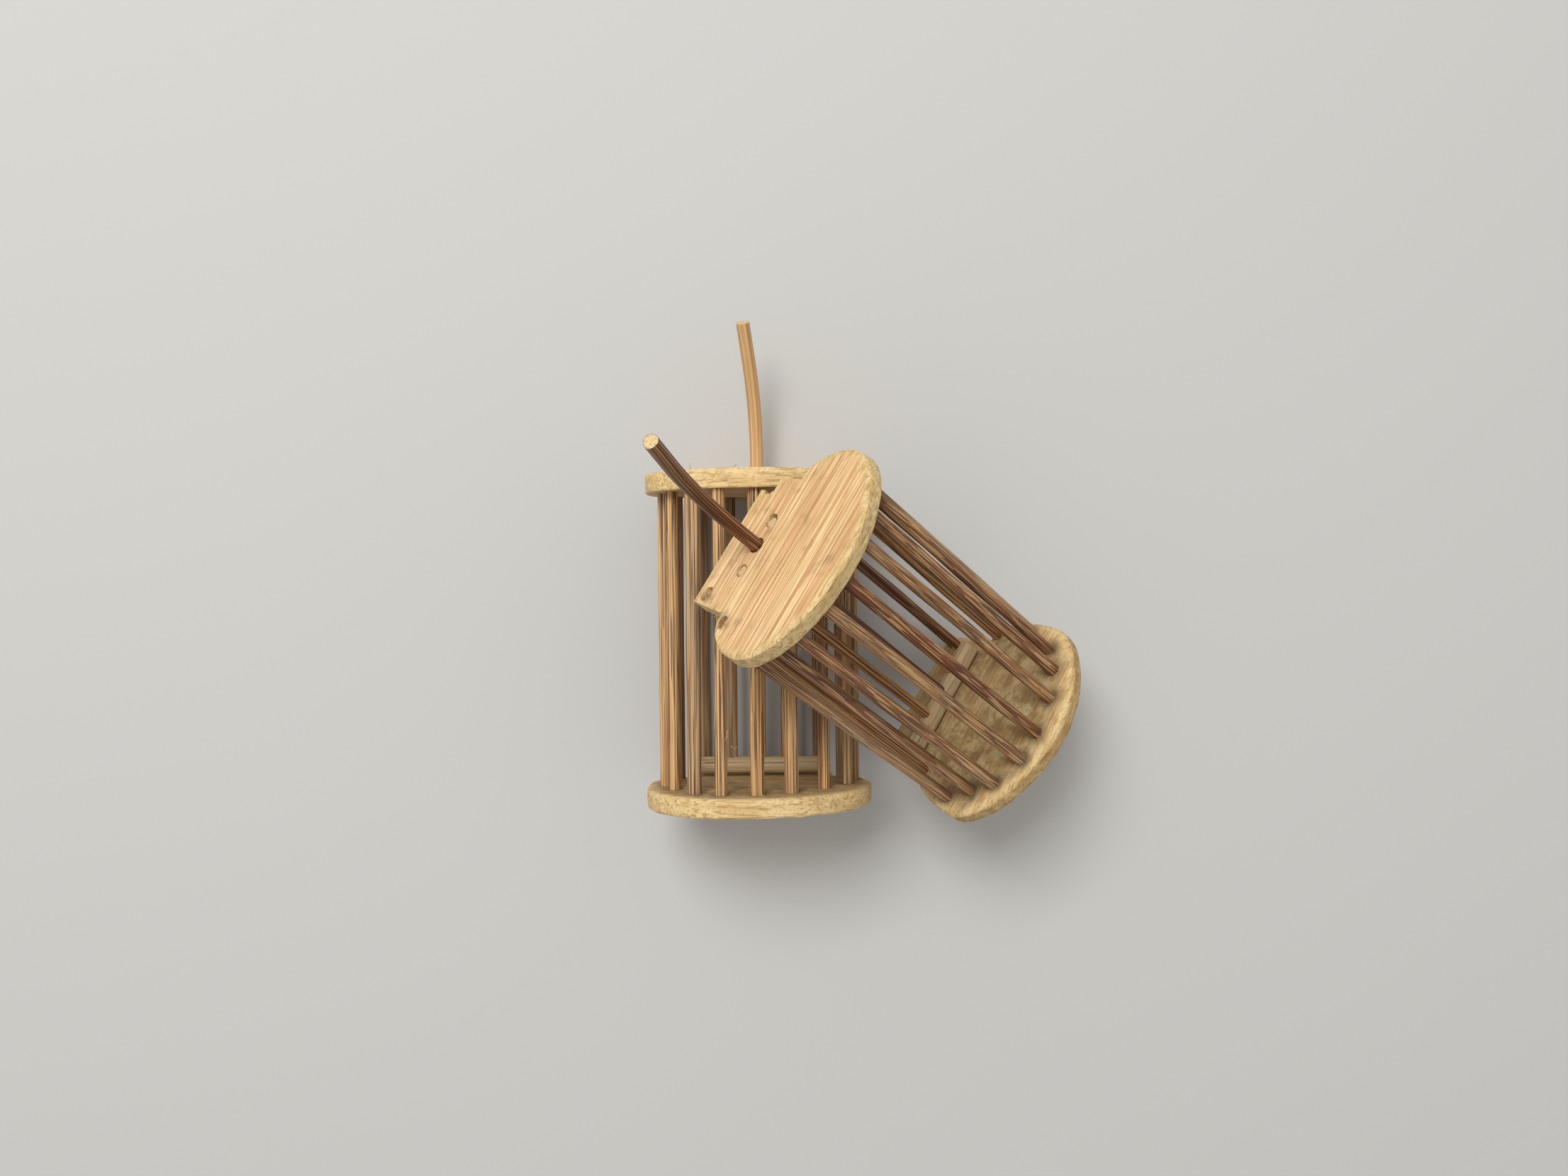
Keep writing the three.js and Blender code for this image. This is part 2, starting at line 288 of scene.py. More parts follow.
def tube_mesh(rings: np.ndarray, ring_values: dict[str, np.ndarray]) -> PieceMesh:
    """Joins rings of points into a tube with closed ends that show their end grain.

    Args:
        rings: Points by ring and by side, in millimetres.
        ring_values: Values by ring and by side.

    Returns:
        The closed mesh, with an end_grain value.
    """
    cap_share = 0.94
    count, sides = rings.shape[:2]
    points = [rings.reshape(-1, 3)]
    values = {key: [given.ravel()] for key, given in ring_values.items()}
    end_grain = [np.zeros(count * sides)]
    side = np.arange(sides)
    after = (side + 1) % sides
    faces: list[tuple] = []
    for low in range(0, (count - 1) * sides, sides):
        high = low + sides
        faces += zip(low + side, low + after, high + after, high + side)
    start = count * sides
    for ring in (0, count - 1):
        middle = rings[ring].mean(axis=0)
        points += [middle + cap_share * (rings[ring] - middle), middle[None, :]]
        end_grain.append(np.ones(sides + 1))
        for key, given in ring_values.items():
            values[key].append(np.zeros(sides + 1) if key == "groove" else np.full(sides + 1, given[ring, 0]))
        outer = ring * sides
        faces += zip(outer + side, outer + after, start + after, start + side)
        faces += zip(start + side, start + after, np.full(sides, start + sides))
        start += sides + 1
    joined = {key: np.concatenate(parts) for key, parts in values.items()}
    joined["end_grain"] = np.concatenate(end_grain)
    return PieceMesh(np.concatenate(points), plain(faces), joined)


@dataclass(frozen=True)
class SplintCut:
    """How a bar was split and pared from bamboo.

    width_share and depth_share are shares of the round bar's diameter; tone goes from about 0, dark, to 1,
    pale; warmth is from 0, pinkish grey, to 1, golden; grooves is how many splits run along it. The values
    without a type are the spans and strengths of what a seed draws, angles in radians.
    """

    width_share: float = 1.0
    depth_share: float = 1.0
    tone: float = 0.5
    warmth: float = 0.5
    grooves: int = 11
    groove_depth_share: float = 0.17
    dust: float = 0.0
    sides: int = 54

    facet_share = 0.03
    swell_share = 0.02
    swells = (1.5, 3)
    groove_shifts = (-0.3, 0.3)
    slant = 0.2
    sway = 0.05
    sways = (1, 4)
    groove_widths = (0.05, 0.1)
    groove_strengths = (0.35, 1.0)
    mean_fade = 0.6
    long_fade = 0.7
    long_fades = (0.4, 2.2)
    short_fade = 0.3
    short_fades = (3, 7)

    def profile(self, seed: int, along: np.ndarray) -> tuple[np.ndarray, np.ndarray]:
        """Works out the bar's skin as shares of its radius.

        Args:
            seed: Number of the piece.
            along: Place of each ring, from 0 at its foot to 1 at its top.

        Returns:
            The radius share and the groove value, each by ring and by side.
        """
        draw = dice(seed)
        angle = round_angles(self.sides)[None, :]
        up = along[:, None]
        share = 1 - self.facet_share * np.cos(2 * angle + draw.uniform(0, FULL_TURN))
        share = share - self.facet_share * np.cos(3 * angle + draw.uniform(0, FULL_TURN) + up)
        share = share + self.swell_share * ripple(draw, self.swells, up)
        groove = np.zeros_like(share)
        for number in range(self.grooves):
            middle = (number + draw.uniform(*self.groove_shifts)) * FULL_TURN / self.grooves
            middle = middle + draw.normal(0, self.slant) * (up - 0.5)
            middle = middle + self.sway * ripple(draw, self.sways, up)
            width = draw.uniform(*self.groove_widths)
            strength = draw.uniform(*self.groove_strengths)
            fade = self.mean_fade + self.long_fade * ripple(draw, self.long_fades, up)
            fade = fade + self.short_fade * ripple(draw, self.short_fades, up)
            depth = strength * np.clip(fade, 0, 1)
            off = (angle - middle + math.pi) % FULL_TURN - math.pi
            groove = np.maximum(groove, depth * np.exp(-((off / width) ** 2)))
        return share * (1 - self.groove_depth_share * groove), groove

    def skin(self, groove: np.ndarray) -> dict[str, np.ndarray]:
        """Gives the values that the material reads, by ring and by side."""
        even = np.ones_like(groove)
        return {"groove": groove, "tone": even * self.tone, "warmth": even * self.warmth,
                "dust": even * self.dust}


@dataclass(frozen=True)
class StraightBar:
    """A bar between the plates, or a gate's short bar."""

    piece: str
    cut: SplintCut
    seed: int
    top_drop_mm: float = 0.0
    shift_across_mm: float = 0.0
    shift_out_mm: float = 0.0
    crumble_mm: float = 0.0
    wander_mm: float = 0.05
    ring_pitch_mm: float = 0.9
    fewest_rings: int = 6

    def mesh(self, place: HalfFrame) -> PieceMesh:
        """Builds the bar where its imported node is.

        Args:
            place: The half's frame.

        Returns:
            The bar's mesh.
        """
        low, high, radius = place.ends(self.piece)
        length = high[1] - self.top_drop_mm - low[1]
        count = max(self.fewest_rings, round(length / self.ring_pitch_mm))
        along = np.linspace(0, 1, count)
        middle = low + (high - low) * along[:, None]
        share, groove = self.cut.profile(self.seed, along)
        angle = round_angles(self.cut.sides)[None, :]
        bow = np.sin(math.pi * along)[:, None]
        draw = dice(self.seed, 1)
        wander = np.sin(FULL_TURN * (2 * along[:, None] + draw.uniform())) * self.wander_mm * bow
        rings = np.zeros((count, self.cut.sides, 3))
        rings[..., 0] = middle[:, :1] + self.shift_across_mm + wander
        rings[..., 0] += radius * self.cut.width_share * share * np.cos(angle)
        rings[..., 1] = low[1] + length * along[:, None]
        rings[..., 2] = middle[:, 2:] + self.shift_out_mm
        rings[..., 2] += radius * self.cut.depth_share * share * np.sin(angle)
        if self.crumble_mm:
            rings[-1, :, 1] -= draw.uniform(0, self.crumble_mm, self.cut.sides)
        return tube_mesh(rings, self.cut.skin(groove)).with_grain(Grain.ALONG_BARS)


@dataclass(frozen=True)
class BentHandle:
    """The gate's long middle bar: straight up through the plate, then bent towards the front."""

    cut: SplintCut
    seed: int
    straight_mm: float
    bend_radius_mm: float
    bend_degrees: float
    turn_degrees: float
    tip_length_mm: float
    tip_share: float
    ring_pitch_mm: float = 0.8
    foot_drop_mm: float = 0.3

    def path(self, foot: np.ndarray, plate_top_mm: float) -> tuple[np.ndarray, np.ndarray]:
        """Follows the bar's middle line.

        Args:
            foot: Where the bar starts, in the half's millimetres.
            plate_top_mm: Height of the top plate's outer face.

        Returns:
            Points of the middle line, and the lean from straight up at each, in radians.
        """
        bend = math.radians(self.bend_degrees)
        straight = plate_top_mm + self.straight_mm - foot[1]
        arc = self.bend_radius_mm * bend
        total = straight + arc + self.tip_length_mm
        run = np.linspace(0, total, round(total / self.ring_pitch_mm))
        lean = np.clip((run - straight) / self.bend_radius_mm, 0, bend)
        tip = np.clip(run - straight - arc, 0, None)
        up = np.minimum(run, straight) + self.bend_radius_mm * np.sin(lean) + tip * math.cos(bend)
        out = self.bend_radius_mm * (1 - np.cos(lean)) + tip * math.sin(bend)
        turn = math.radians(self.turn_degrees)
        line = np.stack([-math.sin(turn) * out, up, math.cos(turn) * out], axis=1) + foot
        return line, lean

    def mesh(self, place: HalfFrame) -> PieceMesh:
        """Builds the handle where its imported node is.

        Args:
            place: The half's frame.

        Returns:
            The handle's mesh, its grain laid straight along the bend.
        """
        middle = np.mean([*place.box("gate_bar_1"), *place.box("gate_bar_2")], axis=0)
        rail_top = place.box("gate_rail")[1][1]
        plate_low, plate_top = (corner[1] for corner in place.box("top_plate"))
        shaft = place.own_points("gate_handle")
        shaft = shaft[(shaft[:, 1] > rail_top) & (shaft[:, 1] < plate_low)]
        radius = float((shaft[:, 0].max() - shaft[:, 0].min()) / 2)
        foot = np.array([middle[0], rail_top - self.foot_drop_mm, middle[2]])
        line, lean = self.path(foot, plate_top)
        count = len(line)
        along = np.linspace(0, 1, count)
        share, groove = self.cut.profile(self.seed, along)
        taper = 1 + (self.tip_share - 1) * along[:, None]
        turn = math.radians(self.turn_degrees)
        towards = np.array([-math.sin(turn), 0, math.cos(turn)])
        beside = np.array([math.cos(turn), 0, math.sin(turn)])
        across = np.cos(lean)[:, None] * towards - np.sin(lean)[:, None] * np.array([0, 1, 0])
        angle = round_angles(self.cut.sides)[None, :, None]
        reach = (radius * taper * share)[..., None]
        rings = line[:, None, :] + reach * (
            self.cut.width_share * np.cos(angle) * beside
            + self.cut.depth_share * np.sin(angle) * across[:, None, :])
        made = tube_mesh(rings, self.cut.skin(groove)).with_grain(Grain.ALONG_BARS)
        flat = np.zeros_like(rings)
        flat[..., 0] = reach[..., 0] * np.cos(angle[..., 0])
        flat[..., 1] = along[:, None] * count * self.ring_pitch_mm
        flat[..., 2] = reach[..., 0] * np.sin(angle[..., 0])
        made.values["grain_place"][:count * self.cut.sides] = flat.reshape(-1, 3) * MM
        return made


@dataclass(frozen=True)
class RailSplint:
    """The gate's rail: a split stick with worn edges that lies across the tabs."""

    cut: SplintCut
    seed: int
    squareness: float = 3.2
    ring_pitch_mm: float = 0.6
    end_crumble_mm: float = 0.25

    def mesh(self, place: HalfFrame) -> PieceMesh:
        """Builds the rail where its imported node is, its fibres along it.

        Args:
            place: The half's frame.

        Returns:
            The rail's mesh.
        """
        low, high = place.box("gate_rail")
        size = high - low
        middle = (low + high) / 2
        count = round(size[0] / self.ring_pitch_mm)
        along = np.linspace(0, 1, count)
        share, groove = self.cut.profile(self.seed, along)
        angle = round_angles(self.cut.sides)[None, :]
        blunt = (np.abs(np.cos(angle)) ** self.squareness + np.abs(np.sin(angle)) ** self.squareness)
        square = blunt ** (-1 / self.squareness) * share
        draw = dice(self.seed, 2)
        rings = np.zeros((count, self.cut.sides, 3))
        rings[..., 0] = low[0] + size[0] * along[:, None]
        rings[..., 1] = middle[1] + size[1] / 2 * self.cut.width_share * square * np.cos(angle)
        rings[..., 2] = middle[2] + size[2] / 2 * self.cut.depth_share * square * np.sin(angle)
        rings[0, :, 0] += draw.uniform(0, self.end_crumble_mm, self.cut.sides)
        rings[-1, :, 0] -= draw.uniform(0, self.end_crumble_mm, self.cut.sides)
        return tube_mesh(rings, self.cut.skin(groove)).with_grain(Grain.ACROSS_PLATE)


@dataclass(frozen=True)
class Hole:
    """A round hole or socket in a plate, in the half's millimetres."""

    across_mm: float
    out_mm: float
    radius_mm: float
    raggedness_mm: float = 0.05
    sides: int = 28

    def loop(self, seed: int) -> np.ndarray:
        """Draws the hole's edge, a little ragged as a hand drill leaves it."""
        draw = dice(seed, 3)
        latest_start = 6
        angle = round_angles(self.sides)
        ragged = draw.uniform(-1, 1, self.sides) + np.sin(2 * angle + draw.uniform(0, latest_start))
        reach = self.radius_mm + self.raggedness_mm * ragged / 2
        return np.stack([self.across_mm + reach * np.cos(angle), self.out_mm + reach * np.sin(angle)], axis=1)


@dataclass(frozen=True)
class PlateShape:
    """Outline of a whittled plate, the same as the model's, in millimetres.

    The front may be drawn askew by skew_share and sit off_centre of the tab; inner_set_back is how far the
    inner face stays behind the outer one; notch is the width and reach of the tab's broken corner.
    """

    depth: float = 26.8
    tab_reach: float = 9.2
    half_width: float = 21.0
    widest_place: float = 9.0
    flat_half_width: float = 14.6
    squareness_share: float = 0.91
    skew_share: float = 0.0
    off_centre: float = 0.0
    inner_set_back: float = 0.0
    notch: Optional[tuple[float, float]] = None
    tab_root_half_width: float = 14.2
    tab_tip_half_width: float = 13.5
    tab_bar_place: float = 11.4
    tab_bar_reach: float = 7.6
    tab_hole_radius: float = 1.3
    socket_steps: int = 16
    corner_steps: int = 14
    front_steps: int = 110
    side_pitch: float = 0.9

    def outline(self) -> np.ndarray:
        """Draws the plate's outline, turning from its right corner over the front.

        Returns:
            Points across and out, one row each.
        """
        corner = np.linspace(math.pi / 2, 0, self.corner_steps + 1)[:-1]
        reach = self.flat_half_width + (self.half_width - self.flat_half_width) * np.cos(corner)
        out = self.widest_place * (1 - np.sin(corner))
        drift = self.off_centre * out / self.widest_place
        right = np.stack([reach + drift, out], axis=1)
        left = np.stack([drift - reach, out], axis=1)[::-1]
        turn = np.linspace(0, math.pi, self.front_steps + 1)
        across = np.sign(np.cos(turn)) * np.abs(np.cos(turn)) ** self.squareness_share * self.half_width
        bulge = np.sin(turn).clip(0, 1) ** self.squareness_share
        crown = self.widest_place + (self.depth - self.widest_place) * bulge
        askew = self.skew_share * across * crown / self.depth
        front = np.stack([across + self.off_centre, crown + askew], axis=1)
        corners = np.array([left[-1], *self.tab_corners(), right[0]])
        return np.concatenate([right, front, left, self.fill(corners)[1:-1]])

    def tab_corners(self) -> list[list[float]]:
        """Lists the tab's corners from left to right, with the broken one if there is one."""
        corners = [[-self.tab_root_half_width, 0.0], [-self.tab_tip_half_width, -self.tab_reach]]
        if self.notch:
            width, reach = self.notch
            edge = self.tab_tip_half_width - width
            opening = math.acos((edge - self.tab_bar_place) / self.tab_hole_radius)
            arc = np.linspace(FULL_TURN - opening, opening, self.socket_steps)
            socket = np.stack([self.tab_bar_place + self.tab_hole_radius * np.cos(arc),
                               self.tab_hole_radius * np.sin(arc) - self.tab_bar_reach], axis=1)
            corners += [[edge, -self.tab_reach], *socket.tolist(), [edge, reach - self.tab_reach]]
            corners += [[self.tab_tip_half_width, reach - self.tab_reach]]
        else:
            corners += [[self.tab_tip_half_width, -self.tab_reach]]
        return corners + [[self.tab_root_half_width, 0.0]]

    def fill(self, corners: np.ndarray) -> np.ndarray:
        """Adds points between corners, so that no side is longer than the pitch."""
        filled = [corners[:1]]
        for start, end in zip(corners[:-1], corners[1:]):
            count = max(1, round(float(np.linalg.norm(end - start)) / self.side_pitch))
            filled.append(start + (end - start) * np.linspace(0, 1, count + 1)[1:, None])
        return np.concatenate(filled)


@dataclass(frozen=True)
class Chamfer:
    """A knife's cut along an edge of the rim: how far it reaches into the face and down the rim."""

    into_face_mm: float = 0.35
    down_rim_mm: float = 0.35
    front_only: bool = False
    hollowness: float = 1.3
    front_start_mm: float = 4.0
    least_share: float = 0.15

    def cut(self, depth_mm: float, out_mm: np.ndarray) -> np.ndarray:
        """Gives how far the cut reaches inwards at a depth below the face.

        Args:
            depth_mm: The depth below the face.
            out_mm: How far out each point of the outline is.

        Returns:
            The cut at each point, in millimetres.
        """
        share = max(0.0, 1 - depth_mm / self.down_rim_mm) ** self.hollowness
        front = np.ones(len(out_mm))
        if self.front_only:
            front = np.clip(out_mm / self.front_start_mm + self.least_share, self.least_share, 1)
        return self.into_face_mm * share * front


@dataclass(frozen=True)
class Mark:
    """A dark mark on a face: a stain, or painted shade round a bar's foot or in the deep gap of a hole round
    its bar; place and reach in millimetres, strength from 0 to 1.
    """

    across_mm: float
    out_mm: float
    reach_mm: float
    strength: float = 1.0
    face: Face = Face.INNER
    depth_share: float = 0.25
    ring_points: int = 10
    ring_shares: Span = (0.6, 1.2)

    def value(self, flat: np.ndarray, through: np.ndarray) -> np.ndarray:
        """Gives how strong the mark is at each point.

        Args:
            flat: The points' places across and out, in millimetres.
            through: Their places through the plate, from 0, inner, to 1, outer.

        Returns:
            The strength at each point, which fades a quarter of the way into the plate.
        """
        far = np.linalg.norm(flat - [self.across_mm, self.out_mm], axis=1)
        level = self.strength * np.exp(-((far / self.reach_mm) ** 2))
        if self.face is Face.BOTH:
            return level
        return level * np.clip(1 - np.abs(through - self.face.value) / self.depth_share, 0, 1)

    def rings(self) -> np.ndarray:
        """Gives points on and round the mark, which carry its value."""
        angle = round_angles(self.ring_points)
        circle = np.stack([np.cos(angle), np.sin(angle)], axis=1)
        middle = np.array([self.across_mm, self.out_mm])
        round_it = [middle + circle * self.reach_mm * share for share in self.ring_shares]
        return np.concatenate([middle[None, :], *round_it])


@dataclass(frozen=True)
class WhittledPlate:
    """A plate cut from a bamboo wall: knife-cut rim, planed faces and drilled holes.

    The values without a type belong to the rim's rows, which run from 0, the inner face, to 1, the outer.
    """

    piece: str
    is_top: bool
    seed: int
    shape: PlateShape
    holes: tuple[Hole, ...] = ()
    marks: tuple[Mark, ...] = ()
    outer_cut: Chamfer = Chamfer(0.45, 0.4)
    inner_cut: Chamfer = Chamfer(0.3, 0.3)
    lean_right_mm: float = 0.0
    knife_depth_mm: float = 0.16
    knife_width_mm: float = 5.0
    tab_cut_share: float = 0.35
    wave_mm: float = 0.07
    waves: int = 5
    wave_pitches_mm: Span = (7, 16)
    face_pitch_mm: float = 1.2
    edge_reach_mm: float = 4.0
    tone: float = 0.8
    dust: float = 0.0

    thickness_mm = 3.5
    chamfer_steps = (0, 0.15, 0.4, 0.7, 1)
    steps_between = 5
    lean_start = 0.15
    rim_roughness_mm = 0.05

    def knife_cuts(self, outline: np.ndarray) -> tuple[np.ndarray, np.ndarray]:
        """Works out how deep the knife went and how it tilted along the rim.

        Args:
            outline: The plate's outline.

        Returns:
            Depth and tilt at each point of the outline, in millimetres.
        """
        draw = dice(self.seed, 4)
        steps = np.linalg.norm(np.roll(outline, -1, axis=0) - outline, axis=1)
        run = np.concatenate([[0], np.cumsum(steps)[:-1]])
        total = float(steps.sum())
        count = round(total / self.knife_width_mm)
        knots = np.sort((np.arange(count) + draw.uniform(-0.3, 0.3, count)) / count * total)
        depth = np.interp(run, knots, draw.uniform(0, self.knife_depth_mm, count), period=total)
        tilt = np.interp(run, knots, draw.uniform(-0.5, 1, count) * self.knife_depth_mm, period=total)
        return depth, tilt

    def inward(self, outline: np.ndarray) -> np.ndarray:
        """Gives the direction into the plate at each point of its outline."""
        along = np.roll(outline, -1, axis=0) - np.roll(outline, 1, axis=0)
        along /= np.linalg.norm(along, axis=1)[:, None]
        return np.stack([-along[:, 1], along[:, 0]], axis=1)

    def rim_rows(self, outline: np.ndarray) -> list[tuple[float, np.ndarray]]:
        """Shapes the rim from the inner face to the outer one.

        Args:
            outline: The plate's outline.

        Returns:
            Rows of the rim: place through the plate from 0, inner, to 1, outer, and the row's outline.
        """
        depth, tilt = self.knife_cuts(outline)
        inward = self.inward(outline)
        across = outline[:, 0] / self.shape.half_width
        lean = np.where(across > 0, self.lean_right_mm, 0) * np.clip(np.abs(across) * 1.4 - 0.2, 0, 1)
        front = np.clip(outline[:, 1] / self.shape.widest_place, 0, 1)
        back = self.shape.inner_set_back * np.clip(outline[:, 1] / self.shape.depth, 0, None)
        rough = 0.75 + 0.25 * np.sin(outline[:, 0] * 1.3 + outline[:, 1] * 0.7 + self.seed)
        inner, outer = (cut.down_rim_mm / self.thickness_mm for cut in (self.inner_cut, self.outer_cut))
        low = [inner * share for share in self.chamfer_steps]
        high = [1 - outer * share for share in reversed(self.chamfer_steps)]
        between = np.linspace(low[-1], high[0], self.steps_between)[1:-1].tolist()
        rows = []
        for through in low + between + high:
            cut = depth + np.clip(tilt, 0, None) * through + np.clip(-tilt, 0, None) * (1 - through)
            cut = cut + self.inner_cut.cut(through * self.thickness_mm, outline[:, 1]) * rough
            cut = cut + self.outer_cut.cut((1 - through) * self.thickness_mm, outline[:, 1]) * rough
            cut = cut * np.where(outline[:, 1] < 0, self.tab_cut_share, 1)
            cut = cut + lean * front * max(0.0, through - self.lean_start) / (1 - self.lean_start)
            draw = dice(self.seed, 5, round(through * self.thickness_mm * 100))
            cut = cut + draw.uniform(0, self.rim_roughness_mm, len(outline))
            row = outline + inward * cut[:, None]
            row[:, 1] -= back * (1 - through)
            rows.append((through, row))
        return rows

    def wave(self, flat: np.ndarray, outer: bool) -> np.ndarray:
        """Gives how far the plane sank into a face at each point, in millimetres."""
        draw = dice(self.seed, 6, int(outer))
        height = np.zeros(len(flat))
        for _ in range(self.waves):
            pitch = draw.uniform(*self.wave_pitches_mm)
            heading = draw.uniform(-0.5, 0.5) + math.pi / 2
            phase = draw.uniform(0, FULL_TURN)
            ahead = flat[:, 0] * math.cos(heading) + flat[:, 1] * math.sin(heading)
            height += np.sin(FULL_TURN * ahead / pitch + phase)
        return (height / self.waves + 1) / 2 * self.wave_mm

    def face_points(self, rim: np.ndarray, loops: list[np.ndarray]) -> np.ndarray:
        """Scatters points over a face, clear of its rim, its holes and the marks' own points."""
        scatter_share, mark_share, clear_share = 0.3, 1.4, 0.45
        draw = dice(self.seed, 7)
        low = rim.min(axis=0)
        high = rim.max(axis=0)
        grid = np.meshgrid(*(np.arange(low[axis], high[axis], self.face_pitch_mm) for axis in (0, 1)))
        scattered = np.stack([places.ravel() for places in grid], axis=1)
        scattered += draw.uniform(-scatter_share, scatter_share, scattered.shape) * self.face_pitch_mm
        edges = np.concatenate([rim, *loops])
        for mark in self.marks:
            far = np.linalg.norm(scattered - [mark.across_mm, mark.out_mm], axis=1)
            scattered = scattered[far > mark.reach_mm * mark_share]
        scattered = np.concatenate([scattered, *(mark.rings() for mark in self.marks)])
        near = np.linalg.norm(scattered[:, None, :] - edges[None, :, :], axis=2).min(axis=1)
        kept = (near > self.face_pitch_mm * clear_share) & inside(scattered, rim)
        for loop in loops:
            kept &= ~inside(scattered, loop)
        return scattered[kept]

    def mesh(self, place: HalfFrame) -> PieceMesh:
        """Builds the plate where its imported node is.

        Args:
            place: The half's frame.

        Returns:
            The plate's mesh.
        """
        low, high = place.box(self.piece)
        inner_y, outer_y = (low[1], high[1]) if self.is_top else (high[1], low[1])
        outline = self.shape.outline()
        rows = self.rim_rows(outline)
        points: list[np.ndarray] = []
        for through, row in rows:
            height = inner_y + (outer_y - inner_y) * through
            points.append(np.stack([row[:, 0], np.full(len(row), height), row[:, 1]], axis=1))
        count = len(outline)
        side = np.arange(count)
        after = (side + 1) % count
        faces: list[tuple] = []
        for start in range(0, (len(rows) - 1) * count, count):
            faces += zip(start + side, start + after, start + count + after, start + count + side)
        total = count * len(rows)
        rim_value = [np.ones(total)]
        loops = [hole.loop(self.seed + number) for number, hole in enumerate(self.holes)]
        walls: list[list[int]] = []
        for outer, first in ((False, 0), (True, (len(rows) - 1) * count)):
            rim = rows[-1][1] if outer else rows[0][1]
            edge = outer_y if outer else inner_y
            flat = np.concatenate([rim, *loops, self.face_points(rim, loops)])
            heights = edge + self.wave(flat, outer) * np.sign((inner_y + outer_y) / 2 - edge)
            index = np.concatenate([first + side, total + np.arange(len(flat) - count)])
            points.append(np.stack([flat[count:, 0], heights[count:], flat[count:, 1]], axis=1))
            rim_value.append(np.zeros(len(flat) - count))
            faces += [tuple(index[list(face)]) for face in fill_face(flat, count, loops)]
            starts = total + np.cumsum([0] + [len(loop) for loop in loops])
            walls.append([int(start) for start in starts[:-1]])
            total += len(flat) - count
        for low_start, high_start, loop in zip(*walls, loops):
            corner = np.arange(len(loop))
            following = (corner + 1) % len(loop)
            faces += zip(low_start + corner, low_start + following,
                         high_start + following, high_start + corner)
        placed = np.concatenate(points)
        made = PieceMesh(placed, plain(faces))
        through = np.abs(placed[:, 1] - inner_y) / abs(outer_y - inner_y)
        # Each point's strongest mark: stains, and painted shade round the bars' feet and in the deep gaps of
        # holes.
        stain_and_shade = [mark.value(placed[:, [0, 2]], through) for mark in self.marks]
        made.values |= {
            "through": through,
            "rim": np.concatenate(rim_value),
            "edge": self.edge_value(placed, rows[0][1]),
            "tone": np.full(len(placed), self.tone),
            "dust": np.full(len(placed), self.dust),
            "stain_and_shade": np.max(stain_and_shade, axis=0) if stain_and_shade else np.zeros(len(placed)),
        }
        return made.with_grain(Grain.ACROSS_PLATE)

    def edge_value(self, points: np.ndarray, rim: np.ndarray) -> np.ndarray:
        """Gives 1 at the rim, falling to 0 where edge_reach_mm ends in the face."""
        flat = points[:, [0, 2]]
        near = np.linalg.norm(flat[:, None, :] - rim[None, :, :], axis=2).min(axis=1)
        return np.clip(1 - near / self.edge_reach_mm, 0, 1)


def inside(points: np.ndarray, loop: np.ndarray) -> np.ndarray:
    """Tells which points lie inside a closed loop.

    Args:
        points: Points, one row each.
        loop: The loop's corners in order.

    Returns:
        True for each point inside.
    """
    following = np.roll(loop, -1, axis=0)
    x, y = points[:, 0][:, None], points[:, 1][:, None]
    tiny = 1e-9
    crosses = (loop[:, 1] > y) != (following[:, 1] > y)
    rise = np.where(following[:, 1] == loop[:, 1], tiny, following[:, 1] - loop[:, 1])
    at = (following[:, 0] - loop[:, 0]) * (y - loop[:, 1]) / rise + loop[:, 0]
    return (crosses & (x < at)).sum(axis=1) % 2 == 1


def fill_face(flat: np.ndarray, rim_count: int, loops: Sequence[np.ndarray]) -> Faces:
    """Fills a flat face with triangles, leaving its holes open.

    Args:
        flat: All points of the face: the rim, each hole's edge, then the points between.
        rim_count: How many of them are on the rim.
        loops: The holes' edges.

    Returns:
        Triangles as indices into the points.
    """
    tolerance = 1e-7
    edges = []
    start = 0
    for size in (rim_count, *map(len, loops)):
        edges += [(start + corner, start + (corner + 1) % size) for corner in range(size)]
        start += size
    found = delaunay_2d_cdt([Vector(point) for point in flat.tolist()], edges, [], 0, tolerance, True)
    triangles, sources = found[2], found[3]
    known = np.array([source[0] if source else -1 for source in sources])
    corners = known[np.array([list(face) for face in triangles])]
    corners = corners[(corners >= 0).all(axis=1)]
    middles = flat[corners].mean(axis=1)
    kept = inside(middles, flat[:rim_count])
    for loop in loops:
        kept &= ~inside(middles, loop)
    return plain(corners[kept])


def add_node(tree: bpy.types.NodeTree, kind: str, inputs: Optional[dict] = None,
             stops: Sequence[tuple[float, str]] = (), **settings: object) -> bpy.types.Node:
    """Adds a node with its settings and links.

    Args:
        tree: The material's nodes.
        kind: The node's type.
        inputs: Socket name or number, and the value or output that it takes.
        stops: For a colour ramp, its places and hex colours.
        settings: The node's own settings.

    Returns:
        The node.
    """
    made = tree.nodes.new(kind)
    for name, value in settings.items():
        setattr(made, name, value)
    for socket, value in (inputs or {}).items():
        if isinstance(value, bpy.types.NodeSocket):
            tree.links.new(value, made.inputs[socket])
        else:
            made.inputs[socket].default_value = value
    if stops:
        ramp = made.color_ramp
        while len(ramp.elements) < len(stops):
            ramp.elements.new(1.0)
        for element, (place, colour) in zip(ramp.elements, stops):
            element.position = place
            element.color = linear(colour)
    return made


@dataclass(frozen=True)
class Streaks:
    """Streaks along the fibres, with their width and length and how many finer ones lie in them."""

    size_mm: Span
    detail: float


@dataclass(frozen=True)
class Cover:
    """A colour that lies over what is below, where a pattern is strong.

    span is the value where the colour starts to show and the value from which it shows in full strength.
    """

    span: Span
    strength: float
    colour: str


@dataclass(frozen=True)
class Layer(Cover, Streaks):
    """Streaks that lay a colour over what is below."""


